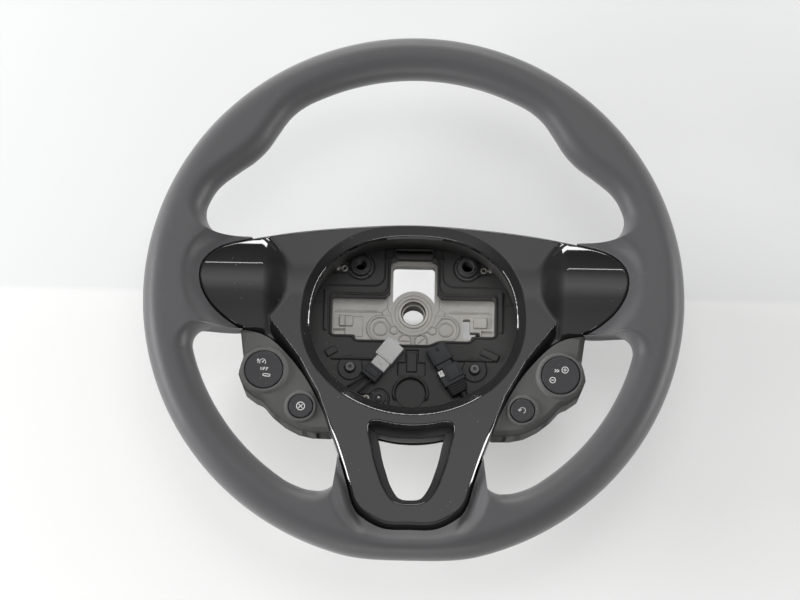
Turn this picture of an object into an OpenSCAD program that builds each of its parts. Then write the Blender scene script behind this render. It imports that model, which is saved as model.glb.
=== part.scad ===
// Three-spoke car steering wheel, seen with its airbag module taken out.
// The wheel stands upright and faces the driver at -Y. The origin is on the column axis,
// in the middle of the smooth stretch of the column bore. +Z is up, +Y runs down the column.

/* [Rim] */
// Outside diameter of the rim
rim_d = 370; // [350:1:390]
// Width of the rim across its section, in the plane of the wheel
rim_w = 30; // [26:0.5:33]
// Thickness of the rim across its section, along the column
rim_t = 31; // [27:0.5:34]
// Distance from the column bore's middle forward to the rim's middle plane
rim_dish = 60; // [52:1:66]
// How far each thumb rest swells into the window
thumb_h = 10.3; // [0:0.1:14]
// Angle of the thumb rests above the side spokes
thumb_a = 42.5; // [38:0.5:48]
// Half of the arc that a thumb rest takes
thumb_span = 17.5; // [12:0.5:19]
// How far the bottom of the rim is flattened
flat_h = 2.4; // [0:0.1:5]
// Radius of the metal ring inside the foam
ring_r = 6; // [4:0.5:8]

/* [Trim] */
// Height of the trim's top edge above the column axis
trim_top = 50; // [46:0.5:53]
// Reach of each wing from the column axis
wing_reach = 146.4; // [140:0.2:150]
// Depth of the trim's bottom edge below the column axis
trim_bottom = 163; // [158:0.5:166]
// Wall of the gloss trim
trim_wall = 2.4; // [1.8:0.1:3]
// How far the trim's outer skirt runs back
trim_skirt = 9; // [7:0.5:10]
// Radius of the wing's round front, above and below its crest
wing_round = 44; // [36:1:60]
// Height of the wing's crest above the column axis
wing_crest = 8; // [4:0.5:12]

/* [Airbag opening] */
// Half of the opening's width
bag_a = 70.7; // [66:0.1:74]
// Half of the opening's height
bag_b = 60.7; // [57:0.1:63]
// Height of the opening's centre above the column axis
bag_z = -18; // [-20:0.5:-16]
// Width of the chamfer round the opening
bag_lip = 6.5; // [4:0.5:8]
// Depth of that chamfer
bag_drop = 4.5; // [2:0.5:6]

/* [Lower loop] */
// Half of the loop's width at its top
loop_w = 28.4; // [24:0.2:31]
// Height of the loop's top edge
loop_top = -91.5; // [-93:0.5:-90]
// Height of the loop's bottom edge
loop_bottom = -145.4; // [-149:0.5:-142]
// Width of the liner's face inside the loop
liner_face = 5.5; // [4:0.5:8]

/* [Hub] */
// Radius of the smooth stretch of the column bore
bore_r = 8.3; // [7.5:0.1:9]
// Length of the smooth stretch
bore_l = 8; // [6:0.5:10]
// Radius at the tips of the splines
spline_r = 7.2; // [6.6:0.1:7.4]
// Number of splines
spline_n = 36; // [24:1:40]
// Length of the splines
spline_l = 9; // [7:0.5:12]
// Radius of the steel bushing
bush_steel_r = 10.9; // [10.2:0.1:11.6]
// Radius of the cast boss round it
boss_r = 13.1; // [12.6:0.1:15]
// Half of the hub plate's width
plate_w = 58.7; // [54:0.5:62]
// Top edge of the hub plate
plate_top = 11.5; // [10:0.5:13]
// Bottom edge of the hub plate
plate_bottom = -20; // [-22:0.5:-18]
// Thickness of the hub plate
plate_t = 8; // [6:0.5:10]
// Half of the hub window's width
window_w = 14.8; // [12:0.2:16]
// Top edge of the hub window
window_top = 34.8; // [31:0.2:36]

/* [Carrier] */
// Depth of the carrier's floor behind the rim's middle plane
floor_depth = 45; // [42:0.5:47]
// Thickness of the carrier's floor and walls
carrier_wall = 2.5; // [2:0.1:3]
// Half of the distance between the two upper bushes
bush_x = 37.7; // [34:0.1:40]
// Height of the upper bushes
bush_z = 30.6; // [28:0.1:32]
// Place of the lower bush to the left of the column axis
low_bush_x = 22.9; // [20:0.1:25]
// Depth of the lower bush below the column axis
low_bush_z = 64.5; // [62:0.1:66]
// Radius of the hole in a bush
bush_hole = 3.7; // [3.2:0.1:4.2]
// Radius of a bush's flange
bush_flange = 8.9; // [8:0.1:9.4]

/* [Switch pods] */
// Centre of the large control from the column axis
big_x = 100.5; // [98:0.1:103]
// Depth of the large control's centre below the column axis
big_z = 55.4; // [53:0.1:57]
// Radius of the large control
big_r = 12.7; // [11.5:0.1:13.5]
// Centre of the small button from the column axis
small_x = 74.8; // [73:0.1:77]
// Depth of the small button's centre below the column axis
small_z = 80; // [78.5:0.1:81]
// Radius of the small button
small_r = 7.9; // [7:0.1:8.6]
// Gap between a control and its collar
key_gap = 0.5; // [0.4:0.05:0.8]
// Width of the collar round a large control
big_collar = 3.0; // [2.4:0.1:3.6]
// Width of the collar round a small button
small_collar = 2.9; // [2.4:0.1:3.4]
// Travel of a small button
press = 1.5; // [1:0.1:2]

/* [Rear cover] */
// Radius of the opening round the column
column_r = 46; // [40:1:50]
// Wall of the cover
cover_wall = 2; // [1.6:0.1:2.1]

/* [Plugs] */
// Width of the horn plug
plug_w = 13.8; // [12.4:0.2:15]
// Thickness of the horn plug
plug_t = 8; // [6:0.5:9]
// Diameter of a horn lead
lead_d = 1.8; // [1.4:0.1:2.2]
// Diameter of the switch lead
loom_d = 5; // [4:0.5:6]

/* [Hidden] */
$fn = 64;

rim_y = -rim_dish;
rim_r = rim_d / 2;
rim_in = rim_r - rim_w;
ring_path = rim_r - rim_w / 2;
seat = 0.3;
tiny = 0.01;

// Front faces along the column, from the driver backwards
skirt_end = rim_y + 12;
floor_y = rim_y + floor_depth;
hub_face = -bore_l / 2;
plate_y = hub_face + 2;

// Turns a flat shape drawn in x and z into a slab from y0 back to y1
module slab(y0, y1) {
    translate([0, y1, 0])
        rotate([90, 0, 0])
            linear_extrude(y1 - y0)
                children();
}

module both() {
    children();
    mirror([1, 0, 0])
        children();
}

// A rectangle between two corners
module field(x0, z0, x1, z1) {
    translate([x0, z0])
        square([x1 - x0, z1 - z0]);
}

// Rounds every corner of a flat shape
module soften(r) {
    offset(r)
        offset(-2 * r)
            offset(r)
                children();
}

module rod(x, z, r, y0, y1) {
    translate([x, y1, z])
        rotate([90, 0, 0])
            cylinder(r = r, h = y1 - y0);
}

function lerp(a, b, t) = a + (b - a) * t;
function clamp01(t) = min(1, max(0, t));
function smooth(t) = let(c = clamp01(t)) c * c * (3 - 2 * c);
function soft_min(a, b, k) = let(h = clamp01(0.5 + (b - a) / (2 * k))) lerp(b, a, h) - k * h * (1 - h);

// A closed curve through the points, with n steps from each point to the next
function catmull(a, b, c, d, t) =
    0.5 * (2 * b + (c - a) * t + (2 * a - 5 * b + 4 * c - d) * t * t + (3 * b - a - 3 * c + d) * t * t * t);
function spline(p, n) = let(m = len(p))
    [for (i = [0:m - 1]) for (k = [0:n - 1])
        catmull(p[(i + m - 1) % m], p[i], p[(i + 1) % m], p[(i + 2) % m], k / n)];

// Adds the mirrored left half to a right half that starts at the top and ends at the bottom
function with_left(p) = concat(p, [for (i = [len(p) - 2:-1:1]) [-p[i][0], p[i][1]]]);

// Joins equal closed sections into a ring
module loft(rings) {
    m = len(rings);
    k = len(rings[0]);
    polyhedron(
        points = [for (r = rings) for (p = r) p],
        faces = [for (i = [0:m - 1]) for (j = [0:k - 1]) for (half = [0, 1])
            let(i2 = (i + 1) % m, j2 = (j + 1) % k)
            half == 0 ? [i * k + j, i2 * k + j, i2 * k + j2] : [i * k + j, i2 * k + j2, i * k + j2]]
    );
}

// Rim

// Outer edge of the rim at an angle, with its slight flat at the bottom
function rim_out(a) = let(u = (a + 90) / 15)
    rim_r - (abs(u) < 1 ? flat_h * pow(cos(u * 90), 2) : 0);
function thumb(a) = let(u = (a - thumb_a) / thumb_span) abs(u) < 1 ? thumb_h * pow(cos(u * 90), 2) : 0;
function polar(r, a, c = [0, 0]) = [c[0] + r * cos(a), c[1] + r * sin(a)];

// The window corners are arcs that touch the rim's inner edge
upper_arc = 17;
upper_arc_c = [127, 54];
lower_arc = 13.5;
lower_arc_c = [136, -38.5];
foot_arc = 13;
foot_arc_c = [61, -124.2];

// Right half of the foam: the angle on the outer edge, and the point on the inner edge
foam_half = concat(
    [for (a = [90:-5:30]) [a, polar(rim_in - thumb(a), a)]],
    [[26, polar(rim_in, 26.5)]],
    [for (k = [0:7]) [23 - k * 1.3, polar(upper_arc, 20 - k * 17, upper_arc_c)]],
    [[11, [116, 38.4]], [8, [110, 37]], [6, [107, 32]], [4, [106, 18]], [2, [106, 6]],
     [0, [106, -8]], [-2, [107, -20]], [-4, [110, -25.5]], [-6, [118, -26.5]]],
    [for (k = [0:6]) [-8 - k * 1.5, polar(lower_arc, 95 - k * 18.5, lower_arc_c)]],
    [for (a = [-20:-5:-55]) [a, polar(rim_in, a)]],
    [[-59, [80.3, -132.3]], [-62, [70, -136.2]]],
    [for (k = [0:6]) [-64 - k * 1.2, polar(foot_arc, -85 - k * 16, foot_arc_c)]],
    [[-72.5, [49, -113]], [-73.5, [44.5, -110.5]], [-74.5, [41.5, -113]], [-76, [39.5, -128]],
     [-79, [36, -144]], [-83, [29, -151]], [-86.5, [14, -152.5]], [-90, [0, -152.5]]]
);

// One section of the foam, from the outer edge over the front to the inner edge and back
function foam_section(a, p, side) = let(
    o = polar(rim_out(a), a),
    reach = norm(p - o),
    e = (p - o) / reach,
    half = rim_w / 2,
    grow = max(0, reach - rim_w),
    lean = thumb(a) / max(thumb_h, 1),
    turns = [for (k = [0:17]) k * 20])
    [for (f = turns) let(
        inward = cos(f) < 0,
        s = inward ? half + grow - half * cos(f) : half - half * cos(f),
        wide = grow > 3 && inward ? s : s * reach / (rim_w + grow),
        front = sin(f) > 0,
        depth = rim_t / 2 * sin(f),
        back = front ? 0 : 0.26 * max(0, s - rim_w) * -sin(f),
        flush = front ? 0.13 * max(0, s - rim_w) * sin(f) : 0)
        [side * (o[0] + e[0] * wide), rim_y - depth + back + flush, o[1] + e[1] * wide]];

module foam_body() {
    right = [for (s = foam_half) foam_section(s[0], s[1], 1)];
    left = [for (i = [len(foam_half) - 2:-1:1]) foam_section(foam_half[i][0], foam_half[i][1], -1)];
    loft(concat(right, left));
}

module rim_grip() {
    color([0.19, 0.19, 0.20])
        difference() {
            foam_body();
            slab(rim_y - 40, skirt_end)
                polygon(trim_outline(0.4));
            armature_core();
        }
}

// Gloss trim

// Outer edge of the trim, right half, from the top to the bottom
trim_half = [
    [0, trim_top], [48, trim_top - 2.7], [89, trim_top - 7.7], [wing_reach - 29, trim_top - 14],
    [wing_reach - 12.4, trim_top - 20.3], [wing_reach - 1.8, trim_top - 32], [wing_reach - 0.7, 3.5],
    [wing_reach - 9.4, -12.3], [wing_reach - 26.4, -24.8], [97, -33], [76, -54.5], [62, -78],
    [54.4, -96.6], [48, -114], [42.6, -131], [37.6, -trim_bottom + 15.3], [31, -trim_bottom + 7.5],
    [17.2, -trim_bottom + 0.6], [0, -trim_bottom]
];
trim_steps = 4;
trim_edge = spline(with_left(trim_half), trim_steps);

// The same edge moved outwards by a gap
function trim_outline(gap) = let(m = len(trim_edge))
    [for (i = [0:m - 1]) let(
        t = trim_edge[(i + 1) % m] - trim_edge[(i + m - 1) % m],
        n = [-t[1], t[0]] / norm(t))
        trim_edge[i] + n * gap];

// Edge of the airbag opening in a direction from its centre
function bag_edge(a, grow = 0) = let(
    n = sin(a) > 0 ? 2.35 : 2)
    pow(pow(abs(cos(a)) / (bag_a + grow), n) + pow(abs(sin(a)) / (bag_b + grow), n), -1 / n);
function bag_outline(grow) = [for (a = [0:5:355]) polar(bag_edge(a, grow), a, [0, bag_z])];

// Where the lower spoke's face ends at the side
ridge = [[-163, 30], [-147, 37.5], [-130, 42.5], [-113, 48], [-98, 54], [-85, 57.5], [-70, 62.5], [-57, 70],
    [-46, 76], [-33, 86], [-18, 98], [-3, 104], [9, 106], [60, 106]];

// Front of the trim behind the rim's plane: round wings that meet a sloping centre
function trim_front(x, z) = let(
    u = abs(x),
    wing = -10 + 11 * smooth((106 - u) / 24) + pow(z - wing_crest, 2) / (2 * wing_round),
    centre = 1 + (z > 0 ? 0.02 : 0.06) * z + 1.1 * max(0, u - lookup(z, ridge)))
    soft_min(soft_min(wing, centre, 3), 6.5, 2);

// A section of the ring between the opening and the outer edge
function bezel_section(p) = let(
    c = [0, bag_z],
    a = atan2(p[1] - c[1], p[0] - c[0]),
    o = polar(bag_edge(a), a, c),
    reach = norm(p - o),
    e = (p - o) / reach,
    lip = min(bag_lip, reach * 0.5),
    edge = min(2.5, reach * 0.3),
    span = reach - lip - edge,
    steps = [0, lip, lip + span * 0.35, lip + span * 0.7, reach - edge, reach - edge * 0.3, reach],
    drops = [bag_drop, 0, 0, 0, 0, 0.7, 2.5],
    rows = [for (k = [0:6]) let(q = o + e * steps[k]) [q, rim_y + trim_front(q[0], q[1]) + drops[k]]],
    skirt = min(rows[6][1] + trim_skirt - 2.5, skirt_end - 0.5),
    wall = min(2.2, reach * 0.28),
    inner = o + e * wall,
    rim = p - e * wall)
    concat(
        [for (r = rows) [r[0][0], r[1], r[0][1]]],
        [[p[0], skirt, p[1]], [rim[0], skirt, rim[1]]],
        [for (k = [4:-1:1]) let(q = k == 4 ? p - e * (edge + 0.2) : rows[k][0])
            [q[0], rows[k][1] + trim_wall, q[1]]],
        [[inner[0], skirt_end, inner[1]], [o[0], skirt_end, o[1]]]);

// The bezel follows the trim's edge down to a joint line across the top of the lower spoke
joint_half = [[57.6, -88], [48, -86.4], [36, -85], [18, -84.2], [0, -84]];
bezel_edge = with_left(concat([for (k = [0:11 * trim_steps + 1]) trim_edge[k]], joint_half));

// Lower spoke: the loop's edge and the trim's edge, point by point
loop_half = [[0, loop_top - 0.8], [12, loop_top], [23, loop_top + 2], [loop_w - 0.6, loop_top + 0.5],
    [loop_w, loop_top - 4.5], [26.5, -104], [24.4, -114], [21.4, -124], [18, -133], [12.6, loop_bottom + 4],
    [7, loop_bottom + 0.7], [0, loop_bottom]];
spoke_half = [[0, -84], [18, -84.2], [36, -85.2], [56.6, -88.9], [54.4, -96.6], [50.6, -107], [46.8, -117.5],
    [43.6, -128], [40.3, -138.5], [36, -trim_bottom + 11.5], [19, -trim_bottom + 1], [0, -trim_bottom]];

spoke_edge = spline(with_left(spoke_half), 3);

function spoke_section(q, p) = let(
    reach = norm(p - q),
    e = (p - q) / reach,
    bevel = min(5, reach * 0.4),
    steps = [0, 1.2, reach - bevel, reach - 1, reach],
    drops = [2, 0, 0, 2.2, 4],
    rows = [for (k = [0:4]) let(s = q + e * steps[k]) [s, rim_y + trim_front(s[0] * 0.9, s[1]) + drops[k]]],
    rim = p - e * 2.2,
    inner = q + e * 2)
    concat(
        [for (r = rows) [r[0][0], r[1], r[0][1]]],
        [[p[0], rows[4][1] + trim_skirt - 4, p[1]], [rim[0], rows[4][1] + trim_skirt - 4, rim[1]]],
        [for (k = [2, 1]) let(s = rows[k][0] + e * (k == 1 ? 1 : -0.6)) [s[0], rows[k][1] + trim_wall, s[1]]],
        [[inner[0], rim_y + 14, inner[1]], [q[0], rim_y + 14, q[1]]]);

module wing_trim() {
    color([0.05, 0.05, 0.055])
        loft([for (p = bezel_edge) bezel_section(p)]);
}

module lower_spoke_trim() {
    loop = spline(with_left(loop_half), 3);
    color([0.05, 0.05, 0.055])
        translate([0, 0, -0.1])
            loft([for (i = [0:len(loop) - 1]) spoke_section(loop[i], spoke_edge[i])]);
}

module loop2d(grow) {
    offset(delta = grow)
        polygon(spline(with_left(loop_half), 3));
}

module loop_liner() {
    color([0.20, 0.20, 0.21])
        union() {
            slab(rim_y + 14, rim_y + 24)
                difference() {
                    loop2d(3.4);
                    loop2d(-liner_face);
                }
            slab(rim_y + 24, rim_y + 32)
                difference() {
                    loop2d(-liner_face + 2.5);
                    loop2d(-liner_face);
                }
        }
}

// Cast armature

// The arm's run from the hub plate out to the ring, seen from above
arm_path = [[plate_w - 6, plate_y], [plate_w + 6, plate_y], [92, -27], [116, -44], [149, -47.4],
    [ring_path - 6, rim_y - 3], [ring_path, rim_y - 3], [ring_path, rim_y + 4], [152, -42], [121, -37.5],
    [92, -19], [plate_w + 8, plate_y + plate_t], [plate_w - 6, plate_y + plate_t]];
// The leg's run from the plate's foot down to the ring, seen from the side
leg_path = [[-14, plate_y], [-66, plate_y], [-78, -9], [-92, -21], [-106, -35], [-124, -45], [-158, -53.5],
    [-ring_path + 5, rim_y - 3], [-ring_path, rim_y - 3], [-ring_path, rim_y + 4], [-154, -47], [-124, -36],
    [-104, -26], [-88, -11], [-68, plate_y + plate_t], [-14, plate_y + plate_t]];
arm_z = [-13, 9];
leg_x = [31, 39];

module arm_solid() {
    translate([0, 0, arm_z[0]])
        linear_extrude(arm_z[1] - arm_z[0])
            polygon(arm_path);
}

module leg_solid() {
    translate([leg_x[0], 0, 0])
        rotate([90, 0, 90])
            linear_extrude(leg_x[1] - leg_x[0])
                polygon([for (p = leg_path) [p[1], p[0]]]);
}

// The ring and the ends of the arms, as the foam is moulded round them
module armature_core() {
    translate([0, rim_y, 0])
        rotate([90, 0, 0])
            rotate_extrude()
                translate([ring_path, 0])
                    circle(r = ring_r);
    both() {
        arm_solid();
        leg_solid();
    }
}

module plate2d() {
    soften(3) {
        field(-plate_w, plate_bottom, plate_w, plate_top);
        field(-window_w - 3.2, 0, window_w + 3.2, window_top + 3.8);
        field(-14, 20, 14, window_top + 10);
        field(-leg_x[1] - 3, -24, leg_x[1] + 3, 0);
        hull()
            both()
                translate([9, -17])
                    circle(r = 9.5);
    }
}

module window2d() {
    difference() {
        soften(2.5)
            field(-window_w, 4, window_w, window_top);
        circle(r = boss_r + 3.4);
    }
}

module armature() {
    color([0.72, 0.70, 0.66])
        difference() {
            union() {
                armature_core();
                slab(plate_y, plate_y + plate_t)
                    difference() {
                        plate2d();
                        window2d();
                    }
                slab(hub_face + 0.8, plate_y + plate_t)
                    difference() {
                        circle(r = boss_r + 3);
                        circle(r = boss_r);
                    }
                rod(0, 0, boss_r, hub_face + 1.2, 22);
                slab(hub_face + 0.6, plate_y + 1)
                    difference() {
                        plate2d();
                        offset(-1.8)
                            plate2d();
                        field(-7, -40, 7, 0);
                    }
                both()
                    translate([23.2, 0, -11])
                        slab(hub_face + 0.8, plate_y + 1)
                            difference() {
                                circle(r = 9.6);
                                circle(r = 7.8);
                                field(-12, -12, 0, 12);
                            }
                both()
                    slab(hub_face + 0.9, plate_y + 1) {
                        translate([5.6, -19.6])
                            difference() {
                                circle(r = 4.3);
                                circle(r = 3.4);
                            }
                        translate([5.6, -19.6])
                            rotate(35)
                                square([5.6, 1], center = true);
                    }
            }
            rod(0, 0, bush_steel_r, hub_face - 1, 30);
            both() {
                rod(23.2, -11, 4.2, hub_face - 1, plate_y + 4);
                rod(13.5, -11.5, 2.4, hub_face - 1, plate_y + 1.5);
            }
            slab(plate_y - 4, plate_y + plate_t + 20)
                soften(0.8) {
                    field(35.2, -17.3, 41.2, -2.5);
                    field(35.2, -17.3, 47.4, -12.6);
                }
            slab(plate_y - 4, plate_y + 3)
                field(-20, window_top + 3.9, 20, window_top + 6.5);
            slab(plate_y - 4, plate_y + 5) {
                field(47.4, -17.3, 55, -12.6);
                field(-51.6, -9.7, -42.7, -2.2);
                field(-56, -17, -46, -11.5);
            }
        }
}

module hub_bushing() {
    color([0.82, 0.82, 0.80])
        difference() {
            union() {
                rod(0, 0, bush_steel_r, hub_face, 22);
            }
            rod(0, 0, bore_r, hub_face - 1, bore_l / 2);
            slab(bore_l / 2 - tiny, bore_l / 2 + spline_l)
                polygon([for (i = [0:spline_n * 4 - 1])
                    polar(spline_r + (i % 4 < 2 ? 0.8 : 0), i * 90 / spline_n)]);
            rod(0, 0, bore_r, bore_l / 2 + spline_l - tiny, 23);
        }
}

// Carrier

// Outline of the carrier, with ears for the upper bushes and their contacts
module carrier2d(grow) {
    union() {
        polygon(bag_outline(grow));
        both()
            offset(delta = grow - 4)
                polygon([[20, 0], [66, 0], [66, 30], [61, 39], [52, 42.5], [20, 44]]);
    }
}

// The hole in the carrier through which the cast plate shows
module carrier_cut2d() {
    offset(-1.4)
        plate2d();
}

module carrier_wall2d() {
    difference() {
        offset(1.2)
            plate2d();
        carrier_cut2d();
    }
}

// Centre and flange radius of each bush
bushes = [[-bush_x, bush_z, bush_flange], [bush_x, bush_z, bush_flange],
    [-low_bush_x, -low_bush_z, bush_flange - 2.4]];
boss_x = 43.5;
boss_z = -42.6;

module airbag_carrier() {
    color([0.10, 0.10, 0.105])
        difference() {
            union() {
                slab(skirt_end, floor_y + carrier_wall)
                    difference() {
                        carrier2d(4);
                        carrier2d(2.2);
                    }
                slab(skirt_end, skirt_end + 1.6)
                    difference() {
                        carrier2d(4);
                        polygon(bag_outline(0.4));
                    }
                slab(floor_y, floor_y + carrier_wall)
                    difference() {
                        carrier2d(4);
                        carrier_cut2d();
                    }
                slab(floor_y, plate_y - 1.4)
                    carrier_wall2d();
                both()
                    rod(boss_x, boss_z, 3.6, floor_y - 2.5, 4);
                slab(floor_y - 2, floor_y + 1)
                    translate([-1, -60])
                        difference() {
                            circle(r = 12.4);
                            circle(r = 10.8);
                            field(-20, -20, 20, -4);
                        }
                both()
                    slab(floor_y - 1.2, floor_y + 1)
                        field(31, -36.6, 56, -35.4);
                slab(floor_y - 1.6, floor_y + 1)
                    field(-20, 43 - 7.4, 20, 43 - 6);
            }
            for (b = bushes) {
                rod(b[0], b[1], b[2] - 3.1, floor_y - 1, floor_y + 20);
                rod(b[0], b[1], b[2] + 0.9, floor_y - 8, floor_y + 0.8);
            }
            both() {
                rod(boss_x, boss_z, 1.5, floor_y - 4, 5);
                slab(floor_y - 1, floor_y + 0.8)
                    field(44, 26, 61, 33);
            }
            rod(-1, -60, 10.8, floor_y - 1, floor_y + 1.2);
            slab(floor_y - 1, floor_y + 1.4) {
                field(-10.2, -47.5, 9, -38);
                field(-5, -48, 4, -29);
            }
            lead_hole(-49, -59, lead_d / 2);
            lead_hole(-43, -64.5, lead_d / 2);
            slab(floor_y - 1, floor_y + 0.8)
                field(-39, -66.4, -29, -61.4);
            loom_hole();
        }
}

module lead_hole(x, z, r) {
    rod(x, z, r + 0.3, floor_y - 1, floor_y + 8);
}

// The switch lead leaves through the wall at the lower right
module loom_hole() {
    translate([41.5, -19.2, -70])
        rotate([0, socket_turn, 0])
            cylinder(r = loom_d / 2 + 0.3, h = 14, center = true);
}

// A snap-in bush: a stem through the floor, with a flange and a raised collar in front
module bush_at(b) {
    seat_y = floor_y + 0.8;
    translate([b[0], 0, b[1]])
        difference() {
            union() {
                rod(0, 0, b[2] - 3.4, seat_y - 7, floor_y + carrier_wall + 6);
                rod(0, 0, b[2] - 1.8, seat_y - 6, seat_y);
                rod(0, 0, b[2], seat_y - 1.4, seat_y);
            }
            rod(0, 0, b[2] - bush_flange + bush_hole, floor_y - 8, floor_y + 30);
        }
}

module left_bush() {
    color([0.13, 0.13, 0.14])
        bush_at(bushes[0]);
}

module right_bush() {
    color([0.13, 0.13, 0.14])
        bush_at(bushes[1]);
}

module lower_bush() {
    color([0.13, 0.13, 0.14])
        bush_at(bushes[2]);
}

// A wire spring that opens towards the contact
module bush_spring() {
    translate([bush_x, floor_y - 1.05, bush_z])
        rotate([90, 0, 0])
            rotate([0, 0, 130])
                rotate_extrude(angle = 200)
                    translate([bush_flange - 0.6, 0])
                        circle(r = 0.45);
}

module left_bush_spring() {
    color([0.55, 0.55, 0.55])
        mirror([1, 0, 0])
            bush_spring();
}

module right_bush_spring() {
    color([0.55, 0.55, 0.55])
        bush_spring();
}

module lower_pin() {
    color([0.80, 0.80, 0.78])
        translate([-low_bush_x, 0, -low_bush_z])
            difference() {
                rod(0, 0, bush_hole - 2.4, floor_y - 6.6, floor_y + 8);
                slab(floor_y - 7, floor_y - 5.8)
                    for (a = [0, 60, 120])
                        rotate(a)
                            square([1.8, 0.5], center = true);
            }
}

// A crimped ring lug on the floor, with its ring centre at the origin
module horn_lug(reach) {
    slab(floor_y + 0.1, floor_y + 0.8)
        difference() {
            union() {
                circle(r = 2.2);
                field(0, -0.9, reach, 0.9);
                field(reach * 0.5, -1.5, reach * 0.65, 1.5);
                field(reach - 2, -1.8, reach, 1.8);
            }
            circle(r = 1.3);
        }
}

module left_horn_contact() {
    color([0.78, 0.74, 0.62])
        translate([-bush_x - bush_flange - 2.5, 0, bush_z - 1.2])
            mirror([1, 0, 0])
                horn_lug(8.5);
}

module right_horn_contact() {
    color([0.78, 0.74, 0.62])
        translate([bush_x + bush_flange + 2.5, 0, bush_z - 1.2])
            horn_lug(8.5);
}

module lower_horn_contact() {
    color([0.78, 0.74, 0.62])
        translate([-low_bush_x - bush_flange - 0.1, 0, -low_bush_z + 0.6])
            mirror([1, 0, 0])
                horn_lug(5.6);
}

module carrier_screws() {
    color([0.25, 0.25, 0.26])
        both()
            translate([boss_x, 0, boss_z])
                difference() {
                    union() {
                        rod(0, 0, 3.0, floor_y - 4.5, floor_y - 2.5);
                        rod(0, 0, 1.5, floor_y - 3, -2);
                    }
                    slab(floor_y - 5, floor_y - 3.2)
                        circle(r = 1.4, $fn = 6);
                }
}

// Rear cover

module cover2d() {
    intersection() {
        offset(delta = -1)
            polygon(trim_edge);
        polygon([[-104, 60], [104, 60], [104, -45], [64, -98], [-64, -98], [-104, -45]]);
    }
}

// Solid behind the wheel, bounded by the cover's outer dish
module dish(back) {
    rotate([90, 0, 0])
        rotate_extrude()
            polygon([[0, 70], [170, 70], [170, 45 + back], [118, 30 + back], [84, -7 + back], [62, -15 + back],
                [56, -17 + back], [0, -17 + back]]);
}

module cover_shell() {
    difference() {
        intersection() {
            slab(skirt_end + seat, 20)
                cover2d();
            dish(0);
        }
        intersection() {
            slab(skirt_end - 1, 20)
                offset(delta = -cover_wall)
                    cover2d();
            dish(cover_wall);
        }
    }
}

module rear_cover() {
    color([0.12, 0.12, 0.125])
        difference() {
            union() {
                cover_shell();
                both()
                    rod(boss_x, boss_z, 4.2, 4, 15.5);
            }
            rod(0, 0, column_r, -10, 30);
            both() {
                arm_gap();
                leg_gap();
                rod(boss_x, boss_z, 3.4, 14, 30);
            }
            slab(skirt_end - 1, 30)
                loop2d(-liner_face + 2.5 + seat);
            slab(skirt_end - 1, rim_y + 24 + seat)
                loop2d(3.4 + seat);
            both()
                rod(boss_x, boss_z, 1.5, 3, 30);
        }
}

// Room for the cast arm where it leaves the cover
module arm_gap() {
    intersection() {
        translate([0, 0, arm_z[0] - seat])
            linear_extrude(arm_z[1] - arm_z[0] + 2 * seat)
                offset(delta = seat)
                    polygon(arm_path);
        translate([90, -100, -50])
            cube([100, 200, 100]);
    }
}

module leg_gap() {
    translate([leg_x[0] - seat, 0, 0])
        rotate([90, 0, 90])
            linear_extrude(leg_x[1] - leg_x[0] + 2 * seat)
                intersection() {
                    offset(delta = seat)
                        polygon([for (p = leg_path) [p[1], p[0]]]);
                    translate([-100, -200])
                        square([200, 106]);
                }
}

module cover_screws() {
    color([0.25, 0.25, 0.26])
        both()
            translate([boss_x, 0, boss_z])
                difference() {
                    union() {
                        rod(0, 0, 3.2, 14, 16);
                        rod(0, 0, 1.5, -1, 14.5);
                    }
                    slab(14.8, 17)
                        circle(r = 1.4, $fn = 6);
                }
}

// Switch pods

pod_face = rim_y + 0;
pod_back = rim_y + 26;
pod_half = [[117.6, -27.2], [114.8, -47], [117.9, -57.9], [113.3, -68.8], [106, -74], [101.2, -75.8],
    [94.8, -83.2], [86, -90.2], [76.8, -94.9], [67.3, -97], [50, -97.2], [40, -80], [60, -50], [80, -20]];

module pod2d(gap) {
    difference() {
        union() {
            offset(1.5)
                offset(-1.5)
                    polygon(pod_half);
            translate([big_x, -big_z])
                circle(r = big_r + key_gap + big_collar);
        }
        offset(delta = gap) {
            polygon(trim_edge);
            polygon(spoke_edge);
        }
    }
}

module collar(x, z, r, w, y0) {
    rotate_r = r + key_gap;
    translate([x, y0, -z])
        rotate([-90, 0, 0])
            cylinder(r1 = rotate_r + w - 0.8, r2 = rotate_r + w + 0.4, h = pod_face - y0 + 1);
}

module well(x, z, r, depth) {
    rod(x, -z, r + key_gap, pod_face - 6, pod_face + depth);
}

big_stem = 2.6;
pin_r = 1.4;
mode_turn = -18;
set_turn = 50;
key_front = pod_face - 3.4;
pivot_y = pod_face;

module pod(turn) {
    difference() {
        union() {
            slab(pod_face, skirt_end + seat)
                intersection() {
                    pod2d(seat);
                    offset(-3.5)
                        pod2d(-20);
                }
            slab(pod_face + 3, pod_back)
                pod2d(seat);
            slab(skirt_end + seat, pod_back)
                difference() {
                    offset(-0.5)
                        pod2d(-3);
                    offset(delta = seat)
                        cover2d();
                    field(100, -27.2, 125, 0);
                }
            collar(big_x, big_z, big_r, big_collar, pod_face - 3);
            collar(small_x, small_z, small_r, small_collar, pod_face - 2);
        }
        well(big_x, big_z, big_r, 5);
        well(small_x, small_z, small_r, 6);
        rod(big_x, -big_z, 6, pod_face, pod_face + 9);
        rod(small_x, -small_z, big_stem + seat, pod_face, pod_face + 12);
        translate([big_x, pivot_y, -big_z])
            rotate([0, turn, 0])
                rotate([0, 90, 0])
                    cylinder(r = pin_r + 0.2, h = 2 * big_r + 3, center = true);
    }
}

module left_switch_housing() {
    color([0.17, 0.17, 0.175])
        mirror([1, 0, 0])
            pod(-mode_turn);
}

module right_switch_housing() {
    color([0.17, 0.17, 0.175])
        pod(set_turn);
}

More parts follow.
